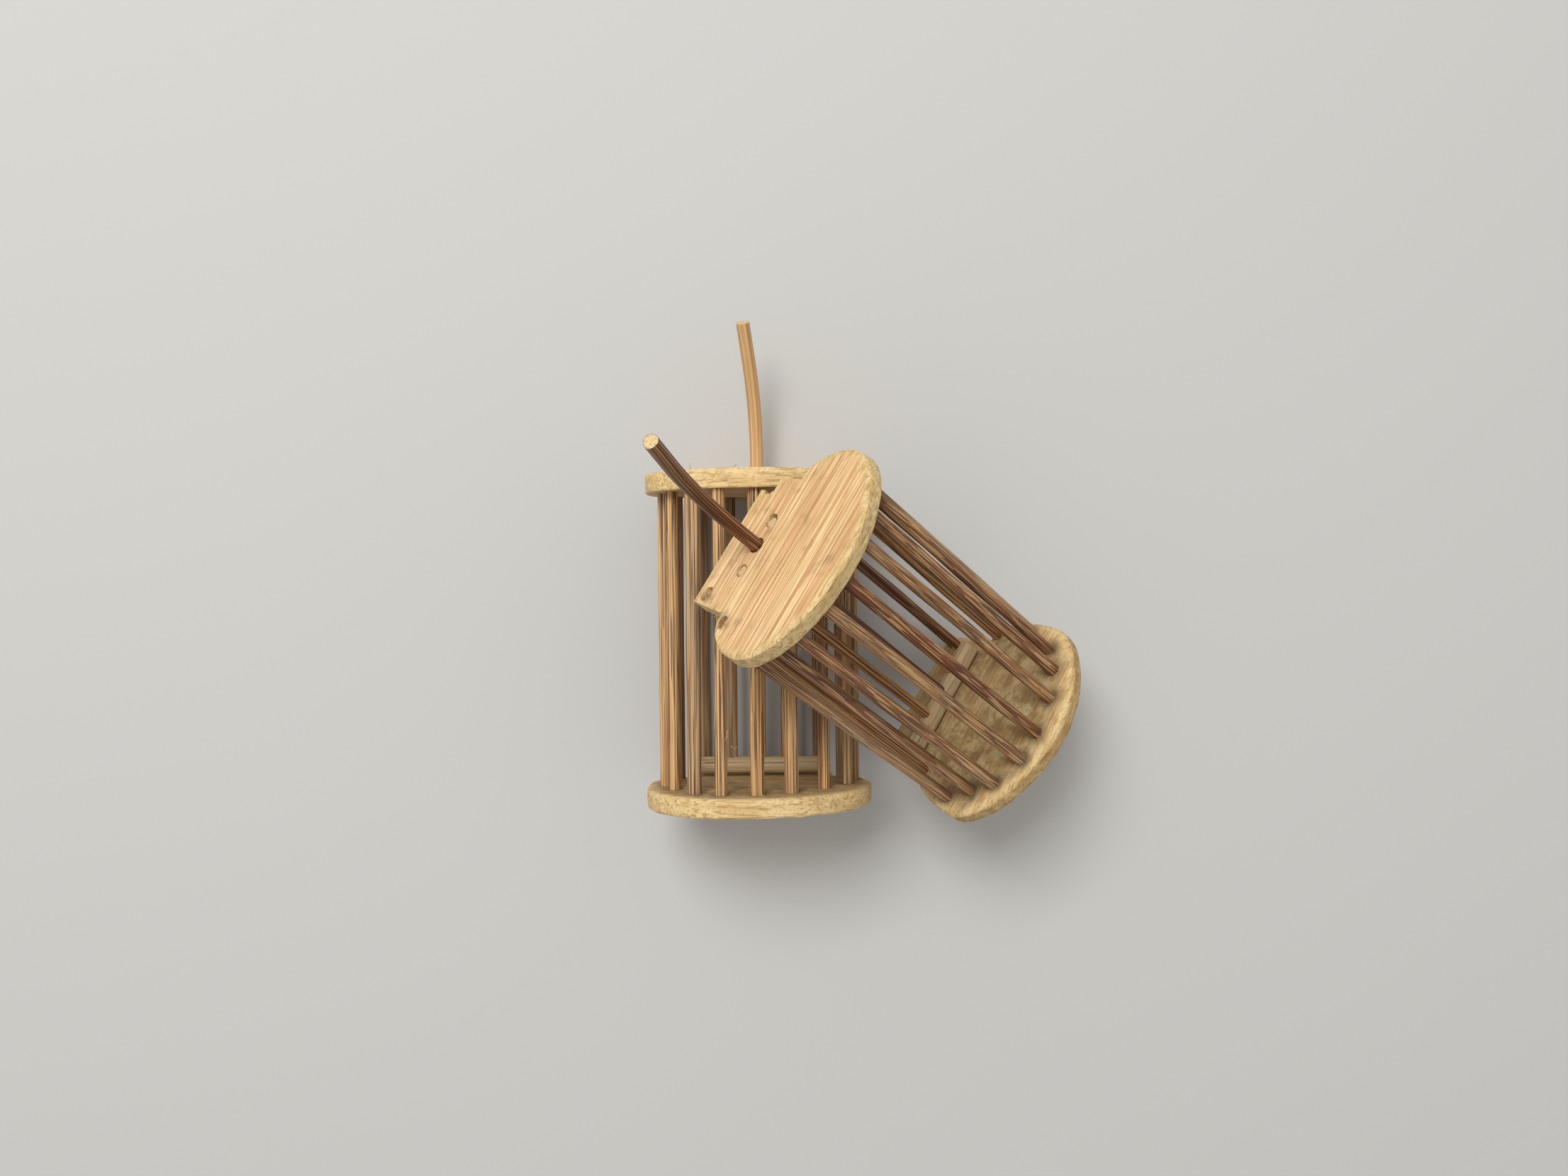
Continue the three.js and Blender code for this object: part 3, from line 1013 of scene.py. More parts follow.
class Shade:
    """A material that is being built, with short ways to add the nodes that wood needs."""

    layer_roughness = 0.55
    noise_scale = 0.5
    refraction = 1.45

    def __init__(self, name: str) -> None:
        """Starts an empty material.

        Args:
            name: The material's name.
        """
        self.made = bpy.data.materials.new(name)
        self.made.use_nodes = True
        self.tree = self.made.node_tree
        self.tree.nodes.clear()

    @cached_property
    def grain(self) -> Socket:
        """The place in the wood, fibres along y."""
        return self.read("grain_place", "Vector")

    def read(self, name: str, output: str = "Fac") -> Socket:
        """Reads one of the values that a mesh carries at its points."""
        return add_node(self.tree, "ShaderNodeAttribute", attribute_name=name).outputs[output]

    def work_out(self, operation: str, *values: Union[Socket, float], clamp: bool = False) -> Socket:
        """Does a sum.

        Args:
            operation: The sum's name.
            values: What goes in.
            clamp: Whether the result is kept from 0 to 1.

        Returns:
            The result.
        """
        return add_node(self.tree, "ShaderNodeMath", dict(enumerate(values)), operation=operation,
                        use_clamp=clamp).outputs[0]

    def remap(self, value: Socket, source: Span = (0.0, 1.0), target: Span = (0.0, 1.0)) -> Socket:
        """Stretches a value from one span to another, and keeps it inside that one."""
        return add_node(self.tree, "ShaderNodeMapRange", {
            0: value, 1: source[0], 2: source[1], 3: target[0], 4: target[1]}).outputs[0]

    def ramp(self, value: Socket, stops: Sequence[tuple[float, str]]) -> Socket:
        """Turns a value into a colour between the hex colours at the stops."""
        return add_node(self.tree, "ShaderNodeValToRGB", {0: value}, stops).outputs[0]

    def mix(self, share: Socket, under: Union[Socket, str], top: Union[Socket, str]) -> Socket:
        """Mixes two colours.

        Args:
            share: How much of the top colour shows, from 0 to 1.
            under: The colour below, or its hex colour.
            top: The colour on top, or its hex colour.

        Returns:
            The mixed colour.
        """
        colours = [linear(colour) if isinstance(colour, str) else colour for colour in (under, top)]
        return add_node(self.tree, "ShaderNodeMix", {0: share, 6: colours[0], 7: colours[1]},
                        data_type="RGBA").outputs[2]

    def draw(self, streaks: Streaks) -> Socket:
        """Draws streaks, as values around a half."""
        across, along = (1 / (size * MM) for size in streaks.size_mm)
        scaled = add_node(self.tree, "ShaderNodeVectorMath", {0: self.grain, 1: (across, along, across)},
                          operation="MULTIPLY")
        return add_node(self.tree, "ShaderNodeTexNoise", {
            "Vector": scaled.outputs[0], "Scale": self.noise_scale, "Detail": streaks.detail,
            "Roughness": self.layer_roughness}).outputs["Fac"]

    def lay(self, cover: Cover, under: Union[Socket, str], pattern: Socket) -> Socket:
        """Lays a colour over another one where a pattern is strong.

        Args:
            cover: The colour on top and where it shows.
            under: The colour below, or its hex colour.
            pattern: The pattern's values.

        Returns:
            The colour that comes out.
        """
        return self.mix(self.remap(pattern, cover.span, (0.0, cover.strength)), under, cover.colour)

    def finish(self, colour: Socket, rough: Socket, relief: Socket, strength: float,
               depth_mm: float) -> bpy.types.Material:
        """Joins the parts of the finish.

        Args:
            colour: The surface's colour.
            rough: Its roughness.
            relief: Its fine height.
            strength: How strongly the height shows.
            depth_mm: How deep the height is.

        Returns:
            The finished material.
        """
        bump = add_node(self.tree, "ShaderNodeBump", {"Strength": strength, "Distance": depth_mm * MM,
                                                      "Height": relief})
        shader = add_node(self.tree, "ShaderNodeBsdfPrincipled", {
            "Base Color": colour, "Roughness": rough, "Normal": bump.outputs[0], "IOR": self.refraction})
        add_node(self.tree, "ShaderNodeOutputMaterial", {"Surface": shader.outputs[0]})
        return self.made


@dataclass(frozen=True)
class SplitBamboo:
    """Bamboo split into thin bars and pared round with a knife.

    The split opens the fibre bundles, which show as fine dark and light lines along the bar, with darker
    grooves where a split ran; hands and age have browned it and left it dull, a little sheen on the ridges.
    """

    name: str
    deep_colour: str = "6B3E22"
    middle_colour: str = "A3713F"
    pale_colour: str = "DFB177"
    red_colour: str = "7E3B20"
    golden_colour: str = "C68A3E"
    dust_colour: str = "B5A689"
    end_colour: str = "C9AC7C"
    ridges: Streaks = Streaks((0.3, 40.0), 1.0)
    lines: Layer = Layer((0.15, 24.0), 1.0, (0.5, 0.54), 0.9, "4A2C18")
    hairs: Layer = Layer((0.12, 12.0), 0.0, (0.56, 0.6), 0.4, "DDB67C")
    patches: Streaks = Streaks((5.0, 20.0), 2.0)
    grooves: Cover = Cover((0.25, 0.75), 0.85, "33200F")
    pore_mm: float = 0.28
    patch_weight: float = 0.5
    ridge_weight: float = 3.2
    wood_span: Span = (1.75, 2.95)
    tint_span: Span = (0.35, 0.7)
    tint_strength: float = 0.5
    dust_weight: float = 2.4
    dust_start: float = -0.75
    ridge_span: Span = (0.3, 0.7)
    roughness: Span = (0.78, 0.48)
    line_relief: float = -0.7
    bump_mm: float = 0.12
    bump_strength: float = 0.8

    def material(self) -> bpy.types.Material:
        """Builds the material's nodes."""
        shade = Shade(self.name)
        groove, tone, warmth, dust, end = map(shade.read, ("groove", "tone", "warmth", "dust", "end_grain"))
        ridge, lines, hairs, patch = map(shade.draw, (self.ridges, self.lines, self.hairs, self.patches))
        worn = shade.work_out("MULTIPLY_ADD", patch, self.patch_weight, tone)
        level = shade.remap(shade.work_out("MULTIPLY_ADD", ridge, self.ridge_weight, worn), self.wood_span)
        wood = shade.ramp(level, (
            (0.0, self.deep_colour), (0.5, self.middle_colour), (1.0, self.pale_colour)))
        tint = shade.mix(warmth, self.red_colour, self.golden_colour)
        colour = shade.mix(shade.remap(patch, self.tint_span, (0.0, self.tint_strength)), wood, tint)
        colour = shade.lay(self.lines, colour, lines)
        colour = shade.lay(self.hairs, colour, hairs)
        colour = shade.lay(self.grooves, colour, groove)
        settled = shade.work_out("MULTIPLY_ADD", patch, self.dust_weight, self.dust_start, clamp=True)
        colour = shade.mix(shade.work_out("MULTIPLY", settled, dust, clamp=True), colour, self.dust_colour)
        colour = shade.mix(end, colour, self.cut_ends(shade))
        rough = shade.remap(ridge, self.ridge_span, self.roughness)
        relief = shade.work_out("MULTIPLY_ADD", lines, self.line_relief, ridge)
        return shade.finish(colour, rough, relief, self.bump_strength, self.bump_mm)

    def cut_ends(self, shade: Shade) -> Socket:
        """Draws the cut ends of the fibre bundles: dark pores in pale pith."""
        scaled = add_node(shade.tree, "ShaderNodeVectorMath", {
            0: shade.grain, 1: (1 / (self.pore_mm * MM),) * 3}, operation="MULTIPLY")
        pores = add_node(shade.tree, "ShaderNodeTexVoronoi", {"Vector": scaled.outputs[0], "Scale": 1.0})
        return shade.ramp(pores.outputs["Distance"], (
            (0.12, self.deep_colour), (0.34, self.end_colour), (1.0, self.end_colour)))


@dataclass(frozen=True)
class PlanedBamboo:
    """Bamboo wall planed flat and cut to shape with a knife.

    The plane lays the fibre bundles bare as fine reddish lines in pale straw-coloured wood; the knife-cut
    rim shows them as speckles where it crosses them and as golden streaks where it runs along them. Dust
    dulls the side that faces in, and dark marks gather round the bars: stains, with painted shade where the
    bars stand in the plate. The pairs of spans stretch a value from the first to the second: how the rim is
    browned away from the inner face and in dark-toned plates, partly grime from hands and partly painted
    shade on the rim's side beyond its lit inner edge, where that wore off, and how dust lies on the inner
    face, thinner at its edge and in patches.
    """

    name: str
    ground_colour: str = "DBBB86"
    rim_colour: str = "D3B379"
    rim_grime_and_shade_colour: str = "835F2C"
    grime_colour: str = "7A6038"
    bundles: Layer = Layer((0.16, 14.0), 1.0, (0.5, 0.56), 0.8, "BE8A58")
    fine: Layer = Layer((0.1, 7.0), 0.0, (0.55, 0.6), 0.55, "9E6C40")
    bands: Layer = Layer((2.4, 40.0), 2.0, (0.53, 0.7), 0.25, "CC8A62")
    patches: Layer = Layer((5.0, 9.0), 4.0, (0.35, 0.65), 1.0, "EBCB98")
    rim_lines: Layer = Layer((0.22, 4.5), 1.0, (0.53, 0.63), 0.7, "A58350")
    rim_patches: Layer = Layer((0.7, 4.0), 3.0, (0.38, 0.6), 1.0, "E0C48E")
    crumbs: Layer = Layer((0.2, 0.3), 2.0, (0.53, 0.62), 0.4, "A58350")
    grit: Layer = Layer((0.4, 0.5), 3.0, (0.5, 0.6), 0.55, "7A6038")
    dust: Layer = Layer((1.8, 2.2), 4.0, (0.4, 0.6), 1.0, "B39D70")
    # Dark colour laid where the marks are: stains, and painted shade round the bars' feet and in the deep
    # gaps of holes.
    stains_and_shade: Cover = Cover((0.12, 0.8), 0.9, "423423")
    grime_and_shade_through: tuple[Span, Span] = ((0.05, 0.32), (0.25, 1.0))
    browned: tuple[Span, Span] = ((0.0, 1.0), (0.9, 0.0))
    worn: tuple[Span, Span] = ((0.35, 0.6), (1.0, 0.6))
    inner: tuple[Span, Span] = ((0.12, 0.0), (0.0, 1.0))
    clean: tuple[Span, Span] = ((0.5, 0.95), (1.0, 0.35))
    settled: tuple[Span, Span] = ((0.35, 0.6), (0.55, 1.0))
    rough: tuple[Span, Span] = ((0.3, 0.7), (0.78, 0.48))
    stain_and_shade_blotch: float = 1.6
    stain_and_shade_start: float = -0.8
    bundle_relief: float = -0.8
    fine_relief: float = -0.4
    bump_mm: float = 0.12
    bump_strength: float = 0.6

    def material(self) -> bpy.types.Material:
        """Builds the material's nodes."""
        shade = Shade(self.name)
        through, edge, rim, dust, stain_and_shade, tone = map(
            shade.read, ("through", "edge", "rim", "dust", "stain_and_shade", "tone"))
        bundles, bands, patch, fine, grit, blotch = map(
            shade.draw, (self.bundles, self.bands, self.patches, self.fine, self.grit, self.dust))
        colour = shade.lay(self.patches, self.ground_colour, patch)
        colour = shade.lay(self.bands, colour, bands)
        colour = shade.lay(self.bundles, colour, bundles)
        colour = shade.lay(self.fine, colour, fine)
        colour = shade.mix(rim, colour, self.whittled(shade, through, tone))
        covered = shade.work_out(
            "MULTIPLY", shade.remap(through, *self.inner), shade.remap(edge, *self.clean))
        layer = shade.work_out("MULTIPLY", covered, shade.remap(patch, *self.settled))
        dusty = shade.work_out("MULTIPLY", layer, dust, clamp=True)
        grime = shade.lay(self.dust, self.grime_colour, blotch)
        colour = shade.mix(dusty, colour, shade.lay(self.grit, grime, grit))
        # The marks, broken up by the dust's blotches: stains, with painted shade round the bars' feet and in
        # deep holes.
        uneven = shade.work_out("MULTIPLY_ADD", blotch, self.stain_and_shade_blotch, self.stain_and_shade_start)
        colour = shade.lay(self.stains_and_shade, colour, shade.work_out("ADD", stain_and_shade, uneven))
        relief = shade.work_out("MULTIPLY_ADD", bundles, self.bundle_relief, grit)
        relief = shade.work_out("MULTIPLY_ADD", fine, self.fine_relief, relief)
        rough = shade.remap(bundles, *self.rough)
        return shade.finish(colour, rough, relief, self.bump_strength, self.bump_mm)

    def whittled(self, shade: Shade, through: Socket, tone: Socket) -> Socket:
        """Colours the whittled rim, browned away from the inner face: partly grime from hands, partly painted
        shade on the rim's side beyond its lit inner edge.

        Args:
            shade: The material.
            through: The place through the plate, from 0, inner, to 1, outer.
            tone: The plate's tone, from 0, browned, to 1, pale.

        Returns:
            The rim's colour, without dust.
        """
        patch, lines, crumbs = map(shade.draw, (self.rim_patches, self.rim_lines, self.crumbs))
        colour = shade.lay(self.rim_patches, self.rim_colour, patch)
        colour = shade.lay(self.rim_lines, colour, lines)
        colour = shade.lay(self.crumbs, colour, crumbs)
        # Browns the rim's side beyond the inner edge, more in dark-toned plates: grime, with painted shade
        # below the lit inner edge.
        brown = shade.work_out(
            "MULTIPLY", shade.remap(through, *self.grime_and_shade_through), shade.remap(tone, *self.browned))
        rim_grime_and_shade = shade.work_out("MULTIPLY", brown, shade.remap(patch, *self.worn))
        return shade.mix(rim_grime_and_shade, colour, self.rim_grime_and_shade_colour)


@dataclass(frozen=True)
class StudioPaper:
    """Matt studio paper, which the cage stands on: pale, with a faint tooth."""

    colour: str = "B9B8B4"
    tooth_mm: float = 0.5
    darkest: float = 0.97
    roughness: float = 0.9

    def material(self) -> bpy.types.Material:
        """Builds the paper's nodes."""
        shade = Shade("studio_paper_matt")
        place = add_node(shade.tree, "ShaderNodeTexCoord").outputs["Object"]
        tooth = add_node(shade.tree, "ShaderNodeTexNoise", {
            "Vector": place, "Scale": 1 / (self.tooth_mm * MM)})
        tint = shade.remap(tooth.outputs["Fac"], target=(self.darkest, 1.0))
        colour = add_node(shade.tree, "ShaderNodeMix", {0: 1.0, 6: linear(self.colour), 7: tint},
                          data_type="RGBA", blend_type="MULTIPLY")
        shader = add_node(shade.tree, "ShaderNodeBsdfPrincipled", {"Base Color": colour.outputs[2],
                                                                   "Roughness": self.roughness})
        add_node(shade.tree, "ShaderNodeOutputMaterial", {"Surface": shader.outputs[0]})
        return shade.made


@dataclass(frozen=True)
class Finishes:
    """The materials that both halves share, built once."""

    bars: bpy.types.Material
    plates: bpy.types.Material
    rails: bpy.types.Material
    lying_handle: bpy.types.Material
    leaning_handle: bpy.types.Material

    @classmethod
    def mixed(cls) -> "Finishes":
        """Builds every bamboo finish of the cage."""
        bars = SplitBamboo("bamboo_split_bars")
        plates = PlanedBamboo("bamboo_planed_plates")
        rails = SplitBamboo("bamboo_split_rail", "8E7049", "B39468", "D6BE92", "A08060", "BFA06A",
                            lines=replace(bars.lines, strength=0.5, colour="6E5234"))
        pale = SplitBamboo("bamboo_peeled_handle", "A47A4B", "C39A69", "DDBB8C", "B98A62", "C99E62",
                           lines=replace(bars.lines, strength=0.45, colour="8A6138"),
                           grooves=replace(bars.grooves, colour="5B3D22"), roughness=(0.78, 0.4))
        brown = SplitBamboo("bamboo_smoked_handle", "4A2714", "6E4022", "94603A", "6B3018", "8E5C2E",
                            lines=replace(bars.lines, colour="2C170D"),
                            hairs=replace(bars.hairs, strength=0.35, colour="C9A078"),
                            grooves=replace(bars.grooves, colour="1E110A"), roughness=(0.55, 0.3))
        return cls(bars.material(), plates.material(), rails.material(), pale.material(), brown.material())


@dataclass(frozen=True)
class LooseFibre:
    """A fibre that has come away from the wood and curls off it, in the half's millimetres."""

    piece: str
    knots: tuple[tuple[float, float, float], ...]
    radius_mm: float = 0.07
    tone: float = 1.0
    sides: int = 6
    steps: int = 14
    smoothings: int = 3
    tip_share: float = 0.35
    warmth: float = 0.6

    def mesh(self) -> PieceMesh:
        """Builds the fibre along a smooth curve through its knots, thin at its free end."""
        knots = np.array(self.knots)
        place = np.linspace(0, len(knots) - 1, self.steps)
        line = np.stack([np.interp(place, np.arange(len(knots)), knots[:, axis])
                         for axis in range(3)], axis=1)
        for _ in range(self.smoothings):
            line[1:-1] = (line[:-2] + 2 * line[1:-1] + line[2:]) / 4
        never_along = [0.3, 0.2, 0.93]
        along = np.gradient(line, axis=0)
        along /= np.linalg.norm(along, axis=1)[:, None]
        beside = np.cross(along, never_along)
        beside /= np.linalg.norm(beside, axis=1)[:, None]
        above = np.cross(along, beside)
        angle = round_angles(self.sides)[None, :, None]
        reach = (self.radius_mm * np.linspace(1, self.tip_share, self.steps))[:, None, None]
        rings = line[:, None, :] + reach * (
            np.cos(angle) * beside[:, None, :] + np.sin(angle) * above[:, None, :])
        skin = SplintCut(tone=self.tone, warmth=self.warmth).skin(np.zeros((self.steps, self.sides)))
        return tube_mesh(rings, skin).with_grain(Grain.ALONG_BARS)


@dataclass
class HalfCage:
    """One half cage: two plates, the bars between them, the gate and a few loose fibres."""

    place: HalfFrame
    finishes: Finishes
    plates: tuple[WhittledPlate, ...]
    bars: tuple[StraightBar, ...]
    gate_bars: tuple[StraightBar, ...]
    rail: RailSplint
    handle: BentHandle
    handle_finish: bpy.types.Material
    fibres: tuple[LooseFibre, ...] = ()
    bar_crease_degrees: float = 60.0
    plate_crease_degrees: float = 38.0

    def build(self) -> None:
        """Builds the half's pieces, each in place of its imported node, and the loose fibres beside them."""
        half = self.place.half.value
        fixed, sliding = f"{half}_half", f"{half}_gate"
        for plate in self.plates:
            made = self.add(plate.piece, plate.mesh(self.place), self.finishes.plates,
                            self.plate_crease_degrees)
            self.dress(made, plate.piece, fixed)
        for bars, body in ((self.bars, fixed), (self.gate_bars, sliding)):
            for bar in bars:
                made = self.add(bar.piece, bar.mesh(self.place), self.finishes.bars, self.bar_crease_degrees)
                self.dress(made, bar.piece, body)
        made = self.add("gate_rail", self.rail.mesh(self.place), self.finishes.rails, self.bar_crease_degrees)
        self.dress(made, "gate_rail", sliding)
        made = self.add("gate_handle", self.handle.mesh(self.place), self.handle_finish,
                        self.bar_crease_degrees)
        self.dress(made, "gate_handle", sliding)
        for fibre in self.fibres:
            made = self.add(fibre.piece, fibre.mesh(), self.finishes.bars, self.bar_crease_degrees)
            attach(made, fixed)

    def add(self, piece: str, shape: PieceMesh, finish: bpy.types.Material,
            crease_degrees: float) -> bpy.types.Object:
        """Adds a piece with its finish.

        Args:
            piece: The piece's name without the half's.
            shape: Its mesh.
            finish: Its material.
            crease_degrees: Edges sharper than this stay sharp.

        Returns:
            The piece's object.
        """
        made = add_piece(f"{self.place.node(piece)}_bamboo", self.place, shape, crease_degrees)
        made.data.materials.append(finish)
        log.info("%s: %d faces", made.name, len(shape.faces))
        return made

    def dress(self, made: bpy.types.Object, piece: str, body: str) -> None:
        """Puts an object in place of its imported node.

        Args:
            made: The object.
            piece: The piece's name without the half's.
            body: The body that it rides on.
        """
        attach(made, body)
        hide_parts(self.place.node(piece))


def curved_bars(first_seed: int, widths: Sequence[float], tones: Sequence[float], warmths: Sequence[float],
                dusts: Sequence[float]) -> list[StraightBar]:
    """Gives the bars along a half's front, from left to right.

    Args:
        first_seed: The seed that the bars' numbers are added to.
        widths: The bars' widths, as shares of the round bar's.
        tones: Their tones.
        warmths: Their warmths.
        dusts: How much dust lies on them.

    Returns:
        The bars.
    """
    depth_share = 0.95
    return [StraightBar(f"curved_bar_{number}", SplintCut(width, depth_share, tone, warmth, dust=dust),
                        first_seed + number)
            for number, (width, tone, warmth, dust) in enumerate(zip(widths, tones, warmths, dusts), 1)]


def stains_and_shade_at_feet(place: HalfFrame, reach_mm: float, strength: float) -> tuple[Mark, ...]:
    """Gives the dark marks round the front bars' feet: stains, with painted shade where each bar stands in
    the plate.

    Args:
        place: The half's frame.
        reach_mm: How far a mark reaches.
        strength: How dark it is, from 0 to 1.

    Returns:
        One mark for each bar.
    """
    feet = [place.ends(f"curved_bar_{number}")[0] for number in range(1, 10)]
    return tuple(Mark(float(foot[0]), float(foot[2]), reach_mm, strength) for foot in feet)


def lying_half(place: HalfFrame, finishes: Finishes) -> HalfCage:
    """Gives the half that lies on its tabs: paler and pinker bars, a dusty bottom plate.

    Args:
        place: The half's frame.
        finishes: The bamboo finishes.

    Returns:
        The half, ready to build.
    """
    bars = curved_bars(10, widths=(1.0, 0.97, 1.08, 1.0, 1.1, 1.06, 0.97, 0.88, 0.9),
                       tones=(0.95, 1.0, 0.75, 1.0, 1.0, 1.0, 0.75, 0.77, 0.75),
                       warmths=(0.35, 0.4, 0.25, 0.6, 0.7, 0.5, 0.2, 0.4, 0.5),
                       dusts=(0.15, 0.2, 0.45, 0.2, 0.1, 0.15, 0.4, 0.4, 0.3))
    hidden = SplintCut(0.98, 0.95, 0.45, 0.4, dust=0.4)
    bars += [StraightBar(piece, hidden, seed)
             for seed, piece in enumerate(("flat_bar_1", "flat_bar_2", "tab_bar_1", "tab_bar_2"), 20)]
    gate_bars = [StraightBar(piece, hidden, seed)
                 for seed, piece in enumerate(("gate_bar_1", "gate_bar_2"), 30)]
    holes = (Hole(-15.6, 2, 1.25), Hole(15.6, 2, 1.25), Hole(-11.4, -7.6, 1.2), Hole(11.4, -7.6, 1.2),
             Hole(-5.53, -1.46, 1.35), Hole(-0.25, -1.46, 1.6), Hole(5.03, -1.46, 1.35))
    plates = (WhittledPlate("bottom_plate", False, 40, PlateShape(skew_share=-0.1),
                            marks=stains_and_shade_at_feet(place, reach_mm=1.9, strength=0.75),
                            inner_cut=Chamfer(0.7, 0.45), dust=0.9),
              WhittledPlate("top_plate", True, 41, PlateShape(depth=24.8), holes, dust=0.4))
    rail = RailSplint(SplintCut(0.98, 0.98, 0.75, 0.5, 6, 0.06, dust=0.6), 60)
    handle = BentHandle(SplintCut(1.06, 1.0, 0.6, 0.6, 7, 0.08), 50, straight_mm=4.0, bend_radius_mm=37.7,
                        bend_degrees=29.0, turn_degrees=15.0, tip_length_mm=7.8, tip_share=0.94)
    fibres = (
        LooseFibre("fibre_top_1", ((-11.2, 61.0, 21.6), (-11.6, 61.6, 22.2), (-11.3, 62.4, 22.8)), tone=1.4),
        LooseFibre("fibre_top_2", ((-3.9, 61.2, 22.0), (-3.5, 61.9, 22.4), (-3.0, 62.0, 23.1)), tone=1.4),
        LooseFibre("fibre_bar_1", ((-5.55, 15.6, 23.0), (-5.3, 14.3, 23.3), (-5.8, 13.3, 23.5)), tone=1.4),
        LooseFibre("fibre_bar_2", ((-4.9, 12.4, 23.0), (-4.2, 11.8, 23.2), (-3.6, 12.2, 23.4)), tone=1.4),
        LooseFibre("fibre_foot_1", ((0.5, 3.6, 22.7), (1.4, 3.3, 23.4), (2.6, 3.1, 23.9)), 0.09, tone=1.5),
    )
    return HalfCage(place, finishes, plates, tuple(bars), tuple(gate_bars), rail, handle,
                    finishes.lying_handle, fibres)


def leaning_half(place: HalfFrame, finishes: Finishes) -> HalfCage:
    """Gives the half that leans on the other: browner bars, a broken tab corner and a dark handle.

    Args:
        place: The half's frame.
        finishes: The bamboo finishes.

    Returns:
        The half, ready to build.
    """
    bars = curved_bars(110, widths=(1.0, 0.95, 1.05, 1.05, 1.0, 0.98, 1.0, 0.95, 1.0),
                       tones=(-0.05, -0.15, -0.1, 0.1, -0.3, 0.0, -0.1, 0.05, 0.2),
                       warmths=(0.4, 0.2, 0.5, 0.8, 0.1, 0.6, 0.3, 0.6, 0.8),
                       dusts=(0.3, 0.1, 0.2, 0.2, 0.0, 0.1, 0.1, 0.2, 0.5))
    bars += [StraightBar("flat_bar_1", SplintCut(0.92, 0.9, 0.4, 0.5), 120, top_drop_mm=0.4, crumble_mm=0.7),
             StraightBar("flat_bar_2", SplintCut(0.98, 0.95, 0.42, 0.5), 121, top_drop_mm=1.2),
             StraightBar("tab_bar_stub", SplintCut(0.86, 0.84, 0.4, 0.6), 122, top_drop_mm=0.8,
                         crumble_mm=1.6),
             StraightBar("tab_bar_2", SplintCut(0.95, 0.9, 0.0, 0.3), 123, top_drop_mm=1.4, crumble_mm=1.1)]
    gate_bars = [StraightBar("gate_bar_1", SplintCut(1.0, 0.98, 0.6, 0.6), 130, crumble_mm=0.2),
                 StraightBar("gate_bar_2", SplintCut(0.92, 0.9, 0.8, 0.6), 131, top_drop_mm=0.15,
                             shift_across_mm=-0.26, shift_out_mm=0.08)]
    holes = (Hole(-15.6, 2, 1.25, 0.15), Hole(-11.4, -7.6, 1.35, 0.4), Hole(-5.53, -1.46, 1.3, 0.1),
             Hole(-0.25, -1.46, 1.6), Hole(5.03, -1.46, 1.42))
    bottom = PlateShape(depth=27.45, tab_reach=11.7, half_width=21.1, widest_place=13.85,
                        flat_half_width=15.8, squareness_share=1.144, skew_share=0.042, off_centre=-0.84)
    top = PlateShape(depth=24.2, tab_reach=10.1, half_width=21.5, widest_place=9.4, flat_half_width=14.6,
                     squareness_share=1.05, skew_share=-0.028, off_centre=0.3, inner_set_back=0.9,
                     notch=(2.6, 4.0))
    # The marks at the left hole and at the stub's hole are painted shade of the deep gap round the bar in the
    # hole; the one over the broken notch darkens its broken wall.
    face_marks = (Mark(-0.46, 20.0, 1.2, 0.5, Face.OUTER), Mark(-15.6, 2.0, 1.5, 0.45, Face.OUTER),
                  Mark(-11.8, -6.8, 1.6, 0.6, Face.OUTER), Mark(11.6, -7.2, 1.9, 0.5, Face.BOTH))
    # The bottom plate's low tone browns its rim's side deeply: grime, with painted shade beyond its lit inner
    # edge.
    plates = (WhittledPlate("bottom_plate", False, 140, bottom,
                            marks=stains_and_shade_at_feet(place, reach_mm=2.3, strength=0.8),
                            inner_cut=Chamfer(1.5, 0.9), tab_cut_share=1.0, tone=0.15, dust=1.0),
              WhittledPlate("top_plate", True, 141, top, holes, face_marks, Chamfer(0.9, 0.5, True),
                            lean_right_mm=0.6, dust=0.5))
    rail = RailSplint(SplintCut(0.98, 0.98, 0.9, 0.5, 6, 0.06, dust=0.7), 160)
    handle = BentHandle(SplintCut(1.0, 0.98, 0.5, 0.5, 7, 0.07), 150, straight_mm=2.0, bend_radius_mm=41.0,
                        bend_degrees=36.5, turn_degrees=5.5, tip_length_mm=9.5, tip_share=0.98)
    fibres = (
        LooseFibre("fibre_tab_1", ((10.9, 3.9, -8.4), (10.4, 4.6, -7.2), (9.6, 4.2, -5.6)), 0.12, tone=1.8),
        LooseFibre("fibre_tab_2", ((10.9, 3.9, -8.2), (9.6, 5.2, -8.2), (9.0, 5.6, -7.2)), 0.09, tone=1.8),
        LooseFibre("fibre_corner", ((-14.2, 60.4, -2.2), (-14.7, 60.3, -2.8), (-15.0, 60.0, -3.4)), tone=1.8),
    )
    return HalfCage(place, finishes, plates, tuple(bars), tuple(gate_bars), rail, handle,
                    finishes.leaning_handle, fibres)


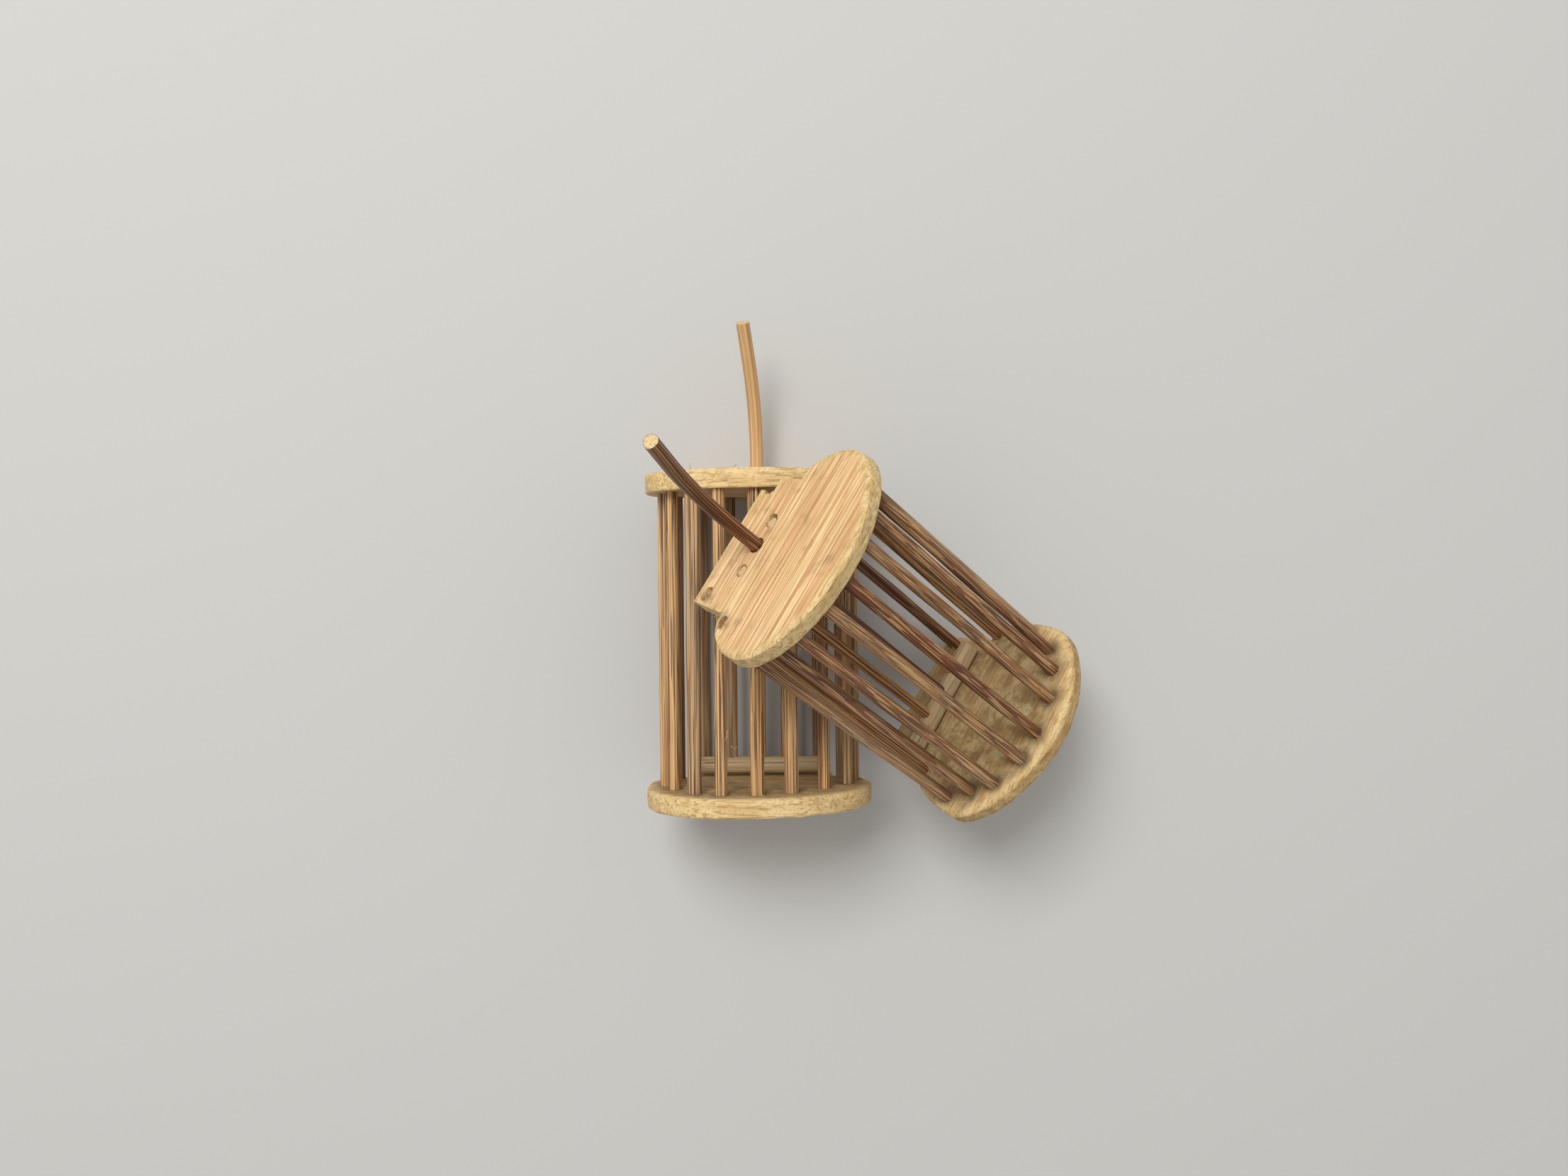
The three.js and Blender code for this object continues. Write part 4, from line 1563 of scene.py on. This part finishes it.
@dataclass
class Studio:
    """The camera straight above, the paper floor and the soft lamps, in metres."""

    lying: HalfFrame
    camera_across: float = 0.004894
    camera_along: float = 0.040063
    camera_height: float = 0.24962
    camera_turn: float = -0.0107
    lens_mm: float = 28.32
    sensor_mm: float = 36.0
    nearest: float = 0.01
    farthest: float = 10.0
    floor_size: float = 3.0
    floor_squares: int = 4
    sky_strength: float = 0.62
    key_power: float = 7.0
    key_size: float = 0.42
    key_place: tuple[float, float, float] = (-0.24, 0.42, 0.8)

    def build(self) -> None:
        """Builds the camera, the floor and the light."""
        self.camera()
        self.floor()
        self.sky()
        self.key_lamp()
        bpy.context.scene.view_settings.view_transform = "Standard"

    def camera(self) -> None:
        """Puts the camera where the photograph was taken from."""
        data = bpy.data.cameras.new("camera")
        data.sensor_fit = "HORIZONTAL"
        data.sensor_width = self.sensor_mm
        data.lens = self.lens_mm
        data.clip_start, data.clip_end = self.nearest, self.farthest
        made = add_object("camera", data)
        made.location = (self.lying.origin[0] + self.camera_across, self.lying.origin[1] + self.camera_along,
                         self.camera_height)
        made.rotation_euler = (0, 0, self.camera_turn)
        bpy.context.scene.camera = made

    def floor(self) -> None:
        """Lays the paper floor under the cage."""
        mesh = bpy.data.meshes.new("paper_floor")
        editor = bmesh.new()
        bmesh.ops.create_grid(editor, x_segments=self.floor_squares, y_segments=self.floor_squares,
                              size=self.floor_size / 2)
        editor.to_mesh(mesh)
        editor.free()
        made = add_object("paper_floor", mesh)
        mesh.materials.append(StudioPaper().material())

    def sky(self) -> None:
        """Fills the room with even light."""
        world = bpy.data.worlds.new("soft_room")
        bpy.context.scene.world = world
        world.use_nodes = True
        tree = world.node_tree
        tree.nodes.clear()
        light = add_node(tree, "ShaderNodeBackground", {"Color": (1, 1, 1, 1), "Strength": self.sky_strength})
        add_node(tree, "ShaderNodeOutputWorld", {"Surface": light.outputs[0]})

    def key_lamp(self) -> None:
        """Hangs one large soft lamp above the far side."""
        data = bpy.data.lights.new("key_lamp", "AREA")
        data.shape = "SQUARE"
        data.size = self.key_size
        data.energy = self.key_power
        made = add_object("key_lamp", data)
        made.location = self.key_place
        made.rotation_euler = (-Vector(self.key_place)).to_track_quat("-Z", "Y").to_euler()


def main() -> None:
    """Builds the studio, then both half cages."""
    logging.basicConfig(level=logging.INFO, format="%(message)s")
    finder = Halves()
    lying = finder.lying()
    leaning = finder.leaning(lying)
    log.info("leaning half: scale %.4f", leaning.scale)
    Studio(lying).build()
    finishes = Finishes.mixed()
    lying_half(lying, finishes).build()
    leaning_half(leaning, finishes).build()


if __name__ == "__main__":
    main()
